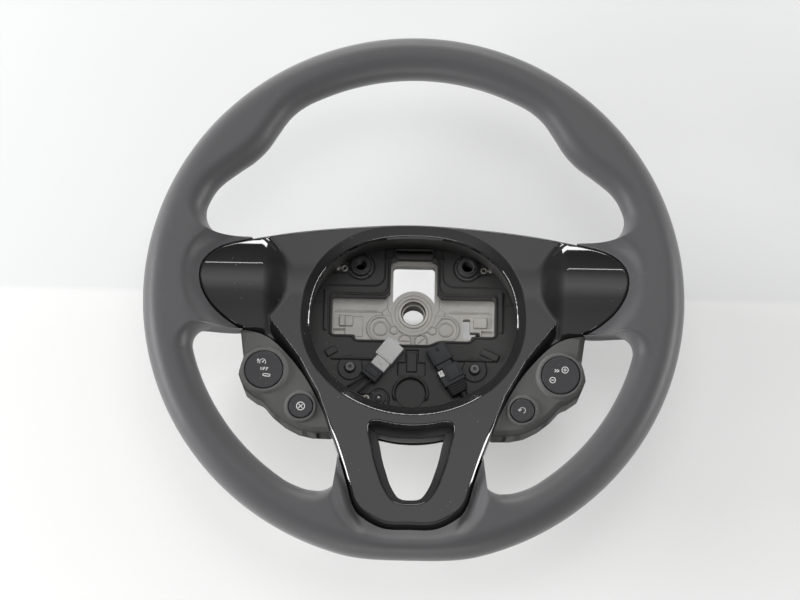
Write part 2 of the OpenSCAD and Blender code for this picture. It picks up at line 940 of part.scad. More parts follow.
// A round rocker on a cross pin
module rocker(turn) {
    rod(0, 0, big_r, key_front, pod_face + 3);
    rotate([0, turn, 0])
        translate([0, pivot_y, 0])
            rotate([0, 90, 0])
                cylinder(r = pin_r, h = 2 * big_r + 2.4, center = true);
    rod(0, 0, 3, pod_face, pod_face + 6);
}

module button() {
    rod(0, 0, small_r, pod_face - 2.6, pod_face + 4);
    rod(0, 0, big_stem, pod_face, pod_face + 10);
}

module mode_rocker() {
    color([0.12, 0.12, 0.125])
        translate([-big_x, 0, -big_z])
            rocker(mode_turn);
}

module set_rocker() {
    color([0.12, 0.12, 0.125])
        translate([big_x, 0, -big_z])
            rocker(set_turn);
}

module cancel_button() {
    color([0.12, 0.12, 0.125])
        translate([-small_x, 0, -small_z])
            button();
}

module resume_button() {
    color([0.12, 0.12, 0.125])
        translate([small_x, 0, -small_z])
            button();
}

// Plugs and leads

plug_turn = 38;
plug_c = [-16.1, -31.4];
// Places a flat shape along the horn plug's own axis
module on_plug(y0, y1) {
    translate([plug_c[0], 0, plug_c[1]])
        rotate([0, plug_turn, 0])
            slab(y0, y1)
                children();
}

plug_y = floor_y - seat - plug_t;

module horn_plug() {
    color([0.93, 0.93, 0.91])
        union() {
            on_plug(plug_y, plug_y + plug_t)
                field(-plug_w / 2, -7.2, plug_w / 2, 7.2);
            on_plug(plug_y + 1.5, plug_y + plug_t)
                field(-plug_w / 2 + 2, -14.6, plug_w / 2 - 0.6, -7.2);
            on_plug(plug_y + 0.8, plug_y + plug_t)
                field(-2.6, 7.2, 2.6, 9);
        }
}

module horn_plug_sleeve() {
    color([0.09, 0.09, 0.095])
        union() {
            on_plug(plug_y + 0.4, plug_y + plug_t)
                field(-plug_w / 2 + 0.7, -24, plug_w / 2 - 0.7, -14.6);
            on_plug(plug_y - 0.3, plug_y + 3)
                field(-plug_w / 2 + 2, -21.5, plug_w / 2 - 2, -17);
        }
}

socket_turn = -29;
socket_c = [18.8, -33.1];
module on_socket(y0, y1) {
    translate([socket_c[0], 0, socket_c[1]])
        rotate([0, socket_turn, 0])
            slab(y0, y1)
                children();
}

module switch_socket() {
    color([0.14, 0.14, 0.15])
        difference() {
            union() {
                on_socket(plug_y - 1, floor_y - seat)
                    field(-7.2, -6.5, 7.2, 6.5);
                on_socket(plug_y + 0.6, floor_y - seat)
                    field(-6.2, -10, 5, -6.5);
            }
            on_socket(plug_y - 2, plug_y + 1)
                field(-1.4, 1.6, 1.2, 4.8);
        }
}

module switch_plug() {
    color([0.11, 0.11, 0.115])
        difference() {
            union() {
                on_socket(plug_y - 0.4, floor_y - seat)
                    soften(1.2)
                        field(-3.6, -20.4, 8, -10);
                on_socket(plug_y + 0.8, floor_y - seat)
                    field(-7.6, -23, 8, -10);
            }
            on_socket(plug_y - 1, plug_y + 2.2)
                field(-9, -15.8, -3.6, -10.8);
        }
}

module plug_lock_tab() {
    color([0.90, 0.90, 0.88])
        on_socket(plug_y + 0.2, plug_y + 2.2)
            field(-7.4, -15.6, -3.9, -11);
}

module switch_boot() {
    color([0.07, 0.07, 0.075])
        on_socket(plug_y + 1, floor_y - seat)
            polygon([[-6.5, -23], [7, -23], [7, -27], [5, -31], [-1, -31], [-6, -28]]);
}

// A round lead swept along its points
function unit(v) = v / norm(v);
module lead(path, d) {
    n = len(path);
    sides = 8;
    rings = [for (i = [0:n - 1]) let(
        t = unit(path[min(n - 1, i + 1)] - path[max(0, i - 1)]),
        u = unit(cross(t, [0.31, 0.2, 0.93])),
        v = cross(t, u))
        [for (k = [0:sides - 1]) path[i] + d / 2 * (u * cos(k * 45) + v * sin(k * 45))]];
    polyhedron(
        points = [for (r = rings) for (p = r) p],
        faces = concat(
            [[for (k = [0:sides - 1]) k]],
            [for (i = [0:n - 2]) for (k = [0:sides - 1]) for (half = [0, 1])
                let(k2 = (k + 1) % sides, a = i * sides, b = a + sides)
                half == 0 ? [a + k, b + k, b + k2] : [a + k, b + k2, a + k2]],
            [[for (k = [sides - 1:-1:0]) (n - 1) * sides + k]]
        )
    );
}

// Routes of the leads, from behind the carrier up to their plugs
lead_a_path = [[-49, -8, -59], [-49, -12, -59], [-49, -15.8, -59], [-48, -18.8, -59], [-46, -21.2, -58.4],
    [-43, -22.4, -56.8], [-39.5, -22.5, -54.4], [-36, -21.5, -51.6], [-33.3, -20.5, -48.6]];
lead_b_path = [[-43, -8, -64.5], [-43, -12, -64.5], [-43, -15.8, -64.5], [-41.9, -18.8, -64.3],
    [-39.8, -21.2, -63.3], [-36.8, -22.4, -61.2], [-33.8, -22.5, -58.4], [-31, -21.5, -55.2],
    [-28.6, -20.5, -52.3]];
loom_path = [[48.7, -26.4, -88.3], [48.1, -23.2, -84.5], [47, -20.8, -80.7], [45.4, -19.4, -77],
    [43.5, -19.2, -73.5], [41.5, -19.2, -70], [39.6, -19.2, -66.5], [37.6, -19.2, -63], [35.7, -19.2, -59.5]];

module horn_lead_a() {
    color([0.05, 0.05, 0.05])
        lead(lead_a_path, lead_d);
}

module horn_lead_b() {
    color([0.05, 0.05, 0.05])
        lead(lead_b_path, lead_d);
}

module switch_lead() {
    color([0.05, 0.05, 0.05])
        lead(loom_path, loom_d);
}

rim_grip();
armature();
hub_bushing();
wing_trim();
lower_spoke_trim();
loop_liner();
airbag_carrier();
rear_cover();
left_bush();
right_bush();
lower_bush();
left_bush_spring();
right_bush_spring();
lower_pin();
left_horn_contact();
right_horn_contact();
lower_horn_contact();
left_switch_housing();
right_switch_housing();
mode_rocker();
cancel_button();
set_rocker();
resume_button();
horn_plug();
horn_plug_sleeve();
switch_socket();
switch_plug();
plug_lock_tab();
switch_boot();
horn_lead_a();
horn_lead_b();
switch_lead();
carrier_screws();
cover_screws();
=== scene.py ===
# Three-spoke car steering wheel with its airbag module out.
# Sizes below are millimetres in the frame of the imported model, and meshes are written in metres.
import math

import bmesh
import bpy
import numpy as np
from mathutils import Matrix, Vector


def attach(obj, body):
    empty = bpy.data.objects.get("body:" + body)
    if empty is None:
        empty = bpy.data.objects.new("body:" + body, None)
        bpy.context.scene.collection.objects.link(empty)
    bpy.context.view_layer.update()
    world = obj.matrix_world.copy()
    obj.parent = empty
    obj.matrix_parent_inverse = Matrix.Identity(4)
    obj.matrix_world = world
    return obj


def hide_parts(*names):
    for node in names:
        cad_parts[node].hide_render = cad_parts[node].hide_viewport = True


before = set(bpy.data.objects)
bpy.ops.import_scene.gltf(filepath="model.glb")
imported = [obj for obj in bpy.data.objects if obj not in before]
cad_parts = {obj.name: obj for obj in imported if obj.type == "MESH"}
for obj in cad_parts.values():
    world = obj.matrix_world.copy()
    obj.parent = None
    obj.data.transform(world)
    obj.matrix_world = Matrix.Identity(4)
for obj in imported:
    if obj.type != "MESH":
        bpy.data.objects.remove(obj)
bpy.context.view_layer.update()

mm = 0.001
rimY = -60.0        # middle of the rim along the column


# Camera

cameraSettings = {
    "target": (0.0, -60.0, 0.0),
    "distance": 1500.0,
    "below": 14.3,      # degrees under the wheel's axis
    "roll": 1.15,
    "lens": 98.7,
    "shift": (-0.01725, -0.0075),
}


def placeCamera(s):
    data = bpy.data.cameras.new("photoCamera")
    data.lens = s["lens"]
    data.sensor_width = 36
    data.shift_x, data.shift_y = s["shift"]
    data.clip_end = 20
    camera = bpy.data.objects.new("photoCamera", data)
    bpy.context.scene.collection.objects.link(camera)
    target = Vector(s["target"]) * mm
    a = math.radians(s["below"])
    place = target + Vector((0, -math.cos(a), -math.sin(a))) * s["distance"] * mm
    turn = (target - place).to_track_quat("-Z", "Y").to_matrix() @ Matrix.Rotation(math.radians(s["roll"]), 3, "Z")
    camera.matrix_world = Matrix.Translation(place) @ turn.to_4x4()
    bpy.context.scene.camera = camera


# Mesh making

def smoothStep(t):
    c = np.clip(t, 0, 1)
    return c * c * (3 - 2 * c)


def softMin(a, b, k):
    h = np.clip(0.5 + (b - a) / (2 * k), 0, 1)
    return b + (a - b) * h - k * h * (1 - h)


def softMax(a, b, k):
    return -softMin(-a, -b, k)


def polar(r, a, centre=(0, 0)):
    a = np.radians(a)
    return np.stack([centre[0] + r * np.cos(a), centre[1] + r * np.sin(a)], -1)


# Catmull-Rom steps from each row of b towards the next, n of them
def curveSteps(a, b, c, d, n):
    t = (np.arange(n) / n)[None, :, None]
    a, b, c, d = (v[:, None] for v in (a, b, c, d))
    curve = 0.5 * (2 * b + (c - a) * t + (2 * a - 5 * b + 4 * c - d) * t ** 2 + (3 * b - a - 3 * c + d) * t ** 3)
    return curve.reshape(-1, b.shape[-1])


# Smooth curve through the rows of p, with n steps from each to the next
def spline(p, n, closed=True):
    p = np.asarray(p, float)
    if closed:
        return curveSteps(np.roll(p, 1, 0), p, np.roll(p, -1, 0), np.roll(p, -2, 0), n)
    q = np.vstack([2 * p[0] - p[1], p, 2 * p[-1] - p[-2]])
    return np.vstack([curveSteps(q[:-3], q[1:-2], q[2:-1], q[3:], n), p[-1]])


def withLeft(half):
    half = np.asarray(half, float)
    return np.vstack([half, half[-2:0:-1] * [-1, 1]])


# Rounds the corners of an outline with arcs of radius r, as quadratic curves
def roundCorners(points, r, steps=5):
    p = np.asarray(points, float)
    before, after = np.roll(p, 1, 0) - p, np.roll(p, -1, 0) - p
    lb, la = np.linalg.norm(before, axis=1), np.linalg.norm(after, axis=1)
    reach = np.minimum(r, 0.49 * np.minimum(lb, la))[:, None]
    start, end = p + before / lb[:, None] * reach, p + after / la[:, None] * reach
    t = np.linspace(0, 1, steps + 1)[None, :, None]
    arc = (1 - t) ** 2 * start[:, None] + 2 * t * (1 - t) * p[:, None] + t ** 2 * end[:, None]
    return arc.reshape(-1, 2)


def outlineNormals(p):
    t = np.roll(p, -1, 0) - np.roll(p, 1, 0)
    n = np.stack([t[:, 1], -t[:, 0]], -1)
    n /= np.linalg.norm(n, axis=1)[:, None] + 1e-12
    area = np.sum(p[:, 0] * np.roll(p[:, 1], -1) - np.roll(p[:, 0], -1) * p[:, 1])
    return n if area > 0 else -n


# Distance to an outline in x and z, negative inside: nearest edge, and the sign from crossings
def outlineDistance(x, z, outline):
    shape = x.shape
    px, pz = x.ravel(), z.ravel()
    best = np.full(px.shape, 1e9)
    inside = np.zeros(px.shape, bool)
    for a, b in zip(outline, np.roll(outline, -1, 0)):
        ex, ez = b - a
        wx, wz = px - a[0], pz - a[1]
        t = np.clip((wx * ex + wz * ez) / (ex * ex + ez * ez + 1e-12), 0, 1)
        best = np.minimum(best, (wx - t * ex) ** 2 + (wz - t * ez) ** 2)
        crosses = (a[1] > pz) != (b[1] > pz)
        inside ^= crosses & (px < ex * (pz - a[1]) / (ez if abs(ez) > 1e-12 else 1e-12) + a[0])
    return (np.sqrt(best) * np.where(inside, -1, 1)).reshape(shape)


# Distance to a rectangle with rounded corners, negative inside
def boxDistance(x, z, x0, z0, x1, z1, r=0.0, turn=0.0):
    cx, cz = (x0 + x1) / 2, (z0 + z1) / 2
    c, s = math.cos(math.radians(turn)), math.sin(math.radians(turn))
    u, v = x - cx, z - cz
    u, v = u * c + v * s, -u * s + v * c
    qx, qz = np.abs(u) - (x1 - x0) / 2 + r, np.abs(v) - (z1 - z0) / 2 + r
    return np.hypot(np.maximum(qx, 0), np.maximum(qz, 0)) + np.minimum(np.maximum(qx, qz), 0) - r


def discDistance(x, z, cx, cz, r):
    return np.hypot(x - cx, z - cz) - r


# Slope of a field in x and z, measured over a short way e to either side
def slopes(field, x, z, e):
    return (field(x + e, z) - field(x - e, z)) / (2 * e), (field(x, z + e) - field(x, z - e)) / (2 * e)


# One inside the shape, falling to nothing over a band of the given width round its edge
def inside(d, width):
    return smoothStep(0.5 - d / width)


# Points and faces of one piece, gathered part by part
class Shape:
    def __init__(self):
        self.points, self.faces, self.normals, self.count = [], [], [], 0

    def add(self, points, faceSets, normals=None):
        points = np.asarray(points, float).reshape(-1, 3)
        self.points.append(points)
        for i, f in enumerate(faceSets):
            f = np.asarray(f, int)
            if len(f):
                self.faces.append(f + self.count)
                self.normals.append(None if normals is None else normals[i])
        self.count += len(points)
        return self


def gridFaces(nu, nv, closedU, closedV):
    i, j = np.meshgrid(np.arange(nu if closedU else nu - 1), np.arange(nv if closedV else nv - 1), indexing="ij")
    i2, j2 = (i + 1) % nu, (j + 1) % nv
    return np.stack([i * nv + j, i2 * nv + j, i2 * nv + j2, i * nv + j2], -1).reshape(-1, 4)


def addGrid(shape, grid, closedU=False, closedV=False):
    return shape.add(grid.reshape(-1, 3), [gridFaces(grid.shape[0], grid.shape[1], closedU, closedV)])


# Turns a closed profile of radius and depth round an axis along Y
def addLathe(shape, profile, cx, cz, n):
    profile = np.asarray(profile, float)
    a = np.radians(np.linspace(0, 360, n, endpoint=False))[:, None]
    r, y = profile[None, :, 0], profile[None, :, 1]
    return addGrid(shape, np.stack([cx + r * np.cos(a), y + 0 * a, cz + r * np.sin(a)], -1), True, True)


# A slab from y0 back to y1 whose front edge is rounded over in a quarter circle
def addSlab(shape, outline, y0, y1, r=0.3, rBack=0.1, steps=3):
    p = np.asarray(outline, float)
    n = outlineNormals(p)
    a = np.radians(np.linspace(90, 0, steps + 1))
    insets = np.concatenate([r * (1 - np.cos(a)), rBack * (1 - np.cos(a[::-1]))])
    levels = np.concatenate([y0 + r * (1 - np.sin(a)), y1 - rBack * (1 - np.sin(a[::-1]))])
    rings = np.stack([np.stack([p[:, 0] - n[:, 0] * i, np.full(len(p), y), p[:, 1] - n[:, 1] * i], -1)
                      for i, y in zip(insets, levels)])
    addGrid(shape, rings, False, True)
    k = np.arange(len(p))
    shape.add(rings[0], [k[None, :]])
    return shape.add(rings[-1], [k[None, ::-1]])


# Carries a closed section of offset and depth round a closed outline
def addBand(shape, outline, section):
    p, s = np.asarray(outline, float), np.asarray(section, float)
    n = outlineNormals(p)
    grid = np.stack([p[:, None, 0] + n[:, None, 0] * s[None, :, 0], s[None, :, 1] + 0 * p[:, None, 0],
                     p[:, None, 1] + n[:, None, 1] * s[None, :, 0]], -1)
    return addGrid(shape, grid, True, True)


# A round tube along a path, its rings turned with the path
def addTube(shape, path, r, sides=20):
    path = np.asarray(path, float)
    t = np.gradient(path, axis=0)
    t /= np.linalg.norm(t, axis=1)[:, None]
    u = np.cross(t, [0.31, 0.2, 0.93])
    u /= np.linalg.norm(u, axis=1)[:, None]
    v = np.cross(t, u)
    a = np.linspace(0, 2 * math.pi, sides, endpoint=False)[None, :, None]
    grid = path[:, None] + r * (u[:, None] * np.cos(a) + v[:, None] * np.sin(a))
    addGrid(shape, grid, False, True)
    k = np.arange(sides)
    shape.add(grid[0], [k[None, :]])
    return shape.add(grid[-1], [k[None, ::-1]])


# Heights over a grid of square cells, cut off where dist is positive, with walls that run back.
# Points beside the cut slide onto it along the slope of dist, and normals come from the heights.
def addRelief(shape, dist, height, box, cell, back):
    x0, z0, x1, z1 = box
    nx, nz = int(round((x1 - x0) / cell)), int(round((z1 - z0) / cell))
    gx, gz = np.meshgrid(np.linspace(x0, x1, nx + 1), np.linspace(z0, z1, nz + 1), indexing="ij")
    d = dist(gx, gz)
    keep = np.zeros((nx + 2, nz + 2), bool)
    keep[1:-1, 1:-1] = (d[:-1, :-1] + d[1:, :-1] + d[1:, 1:] + d[:-1, 1:]) < 0
    around = keep[:-1, :-1].astype(int) + keep[1:, :-1] + keep[1:, 1:] + keep[:-1, 1:]
    edge = (around > 0) & (around < 4)
    ex, ez = gx[edge], gz[edge]
    for step in range(3):
        dx, dz = slopes(dist, ex, ez, cell * 0.2)
        size = np.maximum(dx * dx + dz * dz, 0.25)
        here = np.clip(dist(ex, ez), -cell, cell)
        ex, ez = ex - here * dx / size, ez - here * dz / size
    gx[edge], gz[edge] = ex, ez
    used = around > 0
    index = np.cumsum(used.ravel()).reshape(used.shape) - 1
    ux, uz = gx[used], gz[used]
    front = np.stack([ux, height(ux, uz), uz], -1)
    e = cell * 0.35
    hx, hz = slopes(height, ux, uz, e)
    frontNormal = np.stack([hx, -np.ones_like(hx), hz], -1)
    frontNormal /= np.linalg.norm(frontNormal, axis=1)[:, None]
    dx, dz = slopes(dist, ux, uz, e)
    wallNormal = np.stack([dx, 0 * dx, dz], -1)
    wallNormal /= np.linalg.norm(wallNormal, axis=1)[:, None] + 1e-9
    kept = keep[1:-1, 1:-1]
    i, j = np.nonzero(kept)
    quads = np.stack([index[i, j], index[i + 1, j], index[i + 1, j + 1], index[i, j + 1]], -1)
    edges = []
    for (di, dj), a, b in (((0, -1), (0, 0), (1, 0)), ((1, 0), (1, 0), (1, 1)),
                           ((0, 1), (1, 1), (0, 1)), ((-1, 0), (0, 1), (0, 0))):
        bare = ~keep[i + 1 + di, j + 1 + dj]
        p, q = i[bare], j[bare]
        edges.append(np.stack([index[p + a[0], q + a[1]], index[p + b[0], q + b[1]]], -1))
    edges = np.concatenate(edges)
    rear = front.copy()
    rear[:, 1] = back(ux, uz) if callable(back) else back
    n = len(front)
    walls = np.stack([edges[:, 1], edges[:, 0], edges[:, 0] + n, edges[:, 1] + n], -1)
    # only the rear points that a wall uses stay
    used, place = np.unique(np.concatenate([np.arange(n), walls.ravel()]), return_inverse=True)
    walls = place[n:].reshape(-1, 4)
    quads = place[:n][quads]
    normalOf = np.vstack([wallNormal, wallNormal])[used]
    return shape.add(np.vstack([front, rear])[used], [quads, walls], [frontNormal[quads], normalOf[walls]])


# The triangles of a CAD node whose middle passes a test, in millimetres
def addNode(shape, node, test):
    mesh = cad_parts[node].data
    co = np.empty(len(mesh.vertices) * 3)
    mesh.vertices.foreach_get("co", co)
    co = co.reshape(-1, 3) / mm
    mesh.calc_loop_triangles()
    tris = np.empty(len(mesh.loop_triangles) * 3, int)
    mesh.loop_triangles.foreach_get("vertices", tris)
    tris = tris.reshape(-1, 3)
    middle = co[tris].mean(1)
    tris = tris[test(middle)]
    key, back = np.unique(np.round(co, 4), axis=0, return_inverse=True)
    tris = back.ravel()[tris]
    good = (tris[:, 0] != tris[:, 1]) & (tris[:, 1] != tris[:, 2]) & (tris[:, 2] != tris[:, 0])
    used, tris = np.unique(tris[good], return_inverse=True)
    return shape.add(key[used], [tris.reshape(-1, 3)])


# Writes the mesh. A closed piece gets its seams merged and its faces turned outwards.
def makePiece(name, shape, material, nodes=(), body="wheel", closed=True, crease=35):
    points = np.vstack(shape.points)
    loops = np.concatenate([f.ravel() for f in shape.faces])
    sizes = np.concatenate([np.full(len(f), f.shape[1]) for f in shape.faces])
    mesh = bpy.data.meshes.new(name)
    mesh.vertices.add(len(points))
    mesh.vertices.foreach_set("co", (points * mm).ravel())
    mesh.loops.add(len(loops))
    mesh.loops.foreach_set("vertex_index", loops)
    mesh.polygons.add(len(sizes))
    mesh.polygons.foreach_set("loop_start", np.concatenate([[0], np.cumsum(sizes)[:-1]]))
    mesh.polygons.foreach_set("use_smooth", np.ones(len(sizes), bool))
    mesh.update(calc_edges=True)
    if closed:
        work = bmesh.new()
        work.from_mesh(mesh)
        bmesh.ops.remove_doubles(work, verts=work.verts, dist=2e-6)
        bmesh.ops.dissolve_degenerate(work, edges=work.edges, dist=1e-7)
        bmesh.ops.recalc_face_normals(work, faces=work.faces)
        work.to_mesh(mesh)
        work.free()
    mesh.set_sharp_from_angle(angle=math.radians(crease))
    if not closed and any(n is not None for n in shape.normals):
        ends = np.cumsum([f.size for f in shape.faces])
        custom = np.zeros((len(loops), 3))
        for n, f, end in zip(shape.normals, shape.faces, ends):
            if n is not None:
                custom[end - f.size:end] = n.reshape(-1, 3)
        mesh.normals_split_custom_set([tuple(v) for v in custom])
    mesh.materials.append(material)
    piece = bpy.data.objects.new(name, mesh)
    bpy.context.scene.collection.objects.link(piece)
    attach(piece, body)
    if nodes:
        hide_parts(*nodes)
    print("piece", name, len(mesh.polygons), "faces")
    return piece


# Shader groups, shared by the materials

def newGroup(name, inputs, outputs):
    group = bpy.data.node_groups.new(name, "ShaderNodeTree")
    for label, value in inputs.items():
        kind = "NodeSocketColor" if isinstance(value, tuple) else "NodeSocketFloat"
        group.interface.new_socket(label, in_out="INPUT", socket_type=kind).default_value = value
    for label in outputs:
        kind = "NodeSocketColor" if label == "Color" else "NodeSocketFloat"
        group.interface.new_socket(label, in_out="OUTPUT", socket_type=kind)
    return group, group.nodes.new("NodeGroupInput").outputs, group.nodes.new("NodeGroupOutput").inputs


# A shader node with values or links for its inputs, given by name or number
def addNodeOf(tree, kind, inputs=(), **settings):
    node = tree.nodes.new("ShaderNode" + kind)
    for key, value in settings.items():
        setattr(node, key, value)
    for socket, value in dict(inputs).items():
        if isinstance(value, (int, float, tuple)):
            node.inputs[socket].default_value = value
        elif value is not None:
            tree.links.new(value, node.inputs[socket])
    return node


def mathNode(tree, operation, a, b=None, clamp=False, c=None):
    return addNodeOf(tree, "Math", {0: a, 1: b, 2: c}, operation=operation, use_clamp=clamp).outputs[0]


def mixColours(tree, factor, a, b, kind="MIX"):
    return addNodeOf(tree, "Mix", {0: factor, 6: a, 7: b}, data_type="RGBA", blend_type=kind).outputs[2]


# Pebbled grain: cells of Voronoi softened by fine noise
def grainGroup():
    group, start, end = newGroup("mouldedGrain", {"Scale": 900.0, "Sharpness": 0.6}, ("Height", "Valleys"))
    place = addNodeOf(group, "TexCoord").outputs["Object"]
    cells = addNodeOf(group, "TexVoronoi", {"Vector": place, "Scale": start["Scale"]}, feature="SMOOTH_F1")
    fine = addNodeOf(group, "TexNoise", {"Vector": place, "Scale": start["Scale"], "Detail": 3})
    cellHeight = mathNode(group, "MULTIPLY", cells.outputs["Distance"], start["Sharpness"])
    rest = mathNode(group, "SUBTRACT", 1.0, start["Sharpness"])
    total = mathNode(group, "ADD", cellHeight, mathNode(group, "MULTIPLY", fine.outputs["Fac"], rest))
    group.links.new(total, end["Height"])
    group.links.new(mathNode(group, "SUBTRACT", 1.0, total, True), end["Valleys"])
    return group


# Slow drift of tone and gloss over a moulding
def mottleGroup():
    inputs = {"Color": (0.1, 0.1, 0.1, 1), "Scale": 14.0, "Amount": 0.2, "Roughness": 0.5, "Roughness Drift": 0.1}
    group, start, end = newGroup("slowMottle", inputs, ("Color", "Roughness"))
    place = addNodeOf(group, "TexCoord").outputs["Object"]
    noise = addNodeOf(group, "TexNoise", {"Vector": place, "Scale": start["Scale"], "Detail": 5})
    centred = mathNode(group, "MULTIPLY_ADD", noise.outputs["Fac"], 2.0, c=-1.0)
    gain = mathNode(group, "ADD", mathNode(group, "MULTIPLY", centred, start["Amount"]), 1.0)
    scaled = addNodeOf(group, "VectorMath", {0: start["Color"], "Scale": gain}, operation="SCALE")
    group.links.new(scaled.outputs[0], end["Color"])
    drift = mathNode(group, "MULTIPLY", centred, start["Roughness Drift"])
    group.links.new(mathNode(group, "ADD", drift, start["Roughness"], True), end["Roughness"])
    return group


# Pale dust and lint: sparse specks, and a thin film on the sides that face up
def dustGroup():
    group, start, end = newGroup("dustFilm", {"Specks": 0.5, "Film": 0.1}, ("Mask",))
    place = addNodeOf(group, "TexCoord").outputs["Object"]
    specks = addNodeOf(group, "TexVoronoi", {"Vector": place, "Scale": 260})
    cloud = addNodeOf(group, "TexNoise", {"Vector": place, "Scale": 35, "Detail": 6}).outputs["Fac"]
    dots = mathNode(group, "LESS_THAN", specks.outputs["Distance"], 0.07)
    dots = mathNode(group, "MULTIPLY", dots, mathNode(group, "GREATER_THAN", cloud, 0.56))
    dots = mathNode(group, "MULTIPLY", dots, start["Specks"])
    split = addNodeOf(group, "SeparateXYZ", {0: addNodeOf(group, "NewGeometry").outputs["Normal"]})
    up = mathNode(group, "MAXIMUM", split.outputs["Z"], 0.0)
    film = mathNode(group, "MULTIPLY", mathNode(group, "MULTIPLY", up, cloud), start["Film"])
    group.links.new(mathNode(group, "ADD", dots, film, True), end["Mask"])
    return group


# Rubbed edges: where the surface bends sharply, broken up by noise
def edgeGroup():
    group, start, end = newGroup("rubbedEdges", {"Width": 0.5, "Break Up": 60.0}, ("Mask",))
    place = addNodeOf(group, "TexCoord").outputs["Object"]
    noise = addNodeOf(group, "TexNoise", {"Vector": place, "Scale": start["Break Up"], "Detail": 4})
    bend = mathNode(group, "SUBTRACT", addNodeOf(group, "NewGeometry").outputs["Pointiness"], 0.52)
    worn = mathNode(group, "MULTIPLY", mathNode(group, "MULTIPLY", bend, 14.0, True), noise.outputs["Fac"])
    group.links.new(mathNode(group, "MULTIPLY", worn, start["Width"], True), end["Mask"])
    return group


groups = {"grain": grainGroup(), "mottle": mottleGroup(), "dust": dustGroup(), "edge": edgeGroup()}
print("shader groups ready")


def placeGroup(tree, key, **values):
    node = tree.nodes.new("ShaderNodeGroup")
    node.node_tree = groups[key]
    for label, value in values.items():
        node.inputs[label.replace("_", " ")].default_value = value
    return node


dustTone = (0.42, 0.41, 0.38, 1)


# A moulded, cast or turned finish: base tone with drift, grain in the normal with painted shade in its valleys, dust
# and rubbed edges on top
def makeFinish(name, s):
    material = bpy.data.materials.new(name)
    material.use_nodes = True
    tree = material.node_tree
    tree.nodes.clear()
    tone = placeGroup(tree, "mottle", Color=(*s["color"], 1), Scale=s.get("driftScale", 14.0),
                      Amount=s.get("drift", 0.15), Roughness=s["roughness"],
                      Roughness_Drift=s.get("roughnessDrift", 0.08))
    colour = tone.outputs["Color"]
    normal = None
    if "grain" in s:
        scale, depth, sharpness = s["grain"]
        grain = placeGroup(tree, "grain", Scale=scale, Sharpness=sharpness)
        bump = addNodeOf(tree, "Bump", {"Strength": 0.6, "Distance": depth * mm, "Height": grain.outputs["Height"]})
        normal = bump.outputs[0]
        # painted shade: the grain's valleys darkened towards a darker copy of the base colour
        shade = mathNode(tree, "MULTIPLY", grain.outputs["Valleys"], s.get("valleyShade", 0.25))
        colour = mixColours(tree, shade, colour, tuple(c * 0.55 for c in s["color"]) + (1,))
    if "rubbed" in s:
        edge = placeGroup(tree, "edge", Width=s["rubbed"][0])
        colour = mixColours(tree, edge.outputs["Mask"], colour, (*s["rubbed"][1], 1))
    if "dust" in s:
        dust = placeGroup(tree, "dust", Specks=s["dust"][0], Film=s["dust"][1])
        colour = mixColours(tree, dust.outputs["Mask"], colour, dustTone)
    shader = addNodeOf(tree, "BsdfPrincipled", {
        "Base Color": colour, "Roughness": tone.outputs["Roughness"], "Normal": normal,
        "Metallic": s.get("metallic", 0.0), "IOR": 1.5, "Specular IOR Level": 0.5, "Coat Weight": s.get("coat", 0.0),
        "Coat Roughness": s.get("coatRoughness", 0.03), "Sheen Weight": s.get("sheen", 0.0), "Sheen Roughness": 0.5})
    addNodeOf(tree, "OutputMaterial", {"Surface": shader.outputs[0]})
    return material


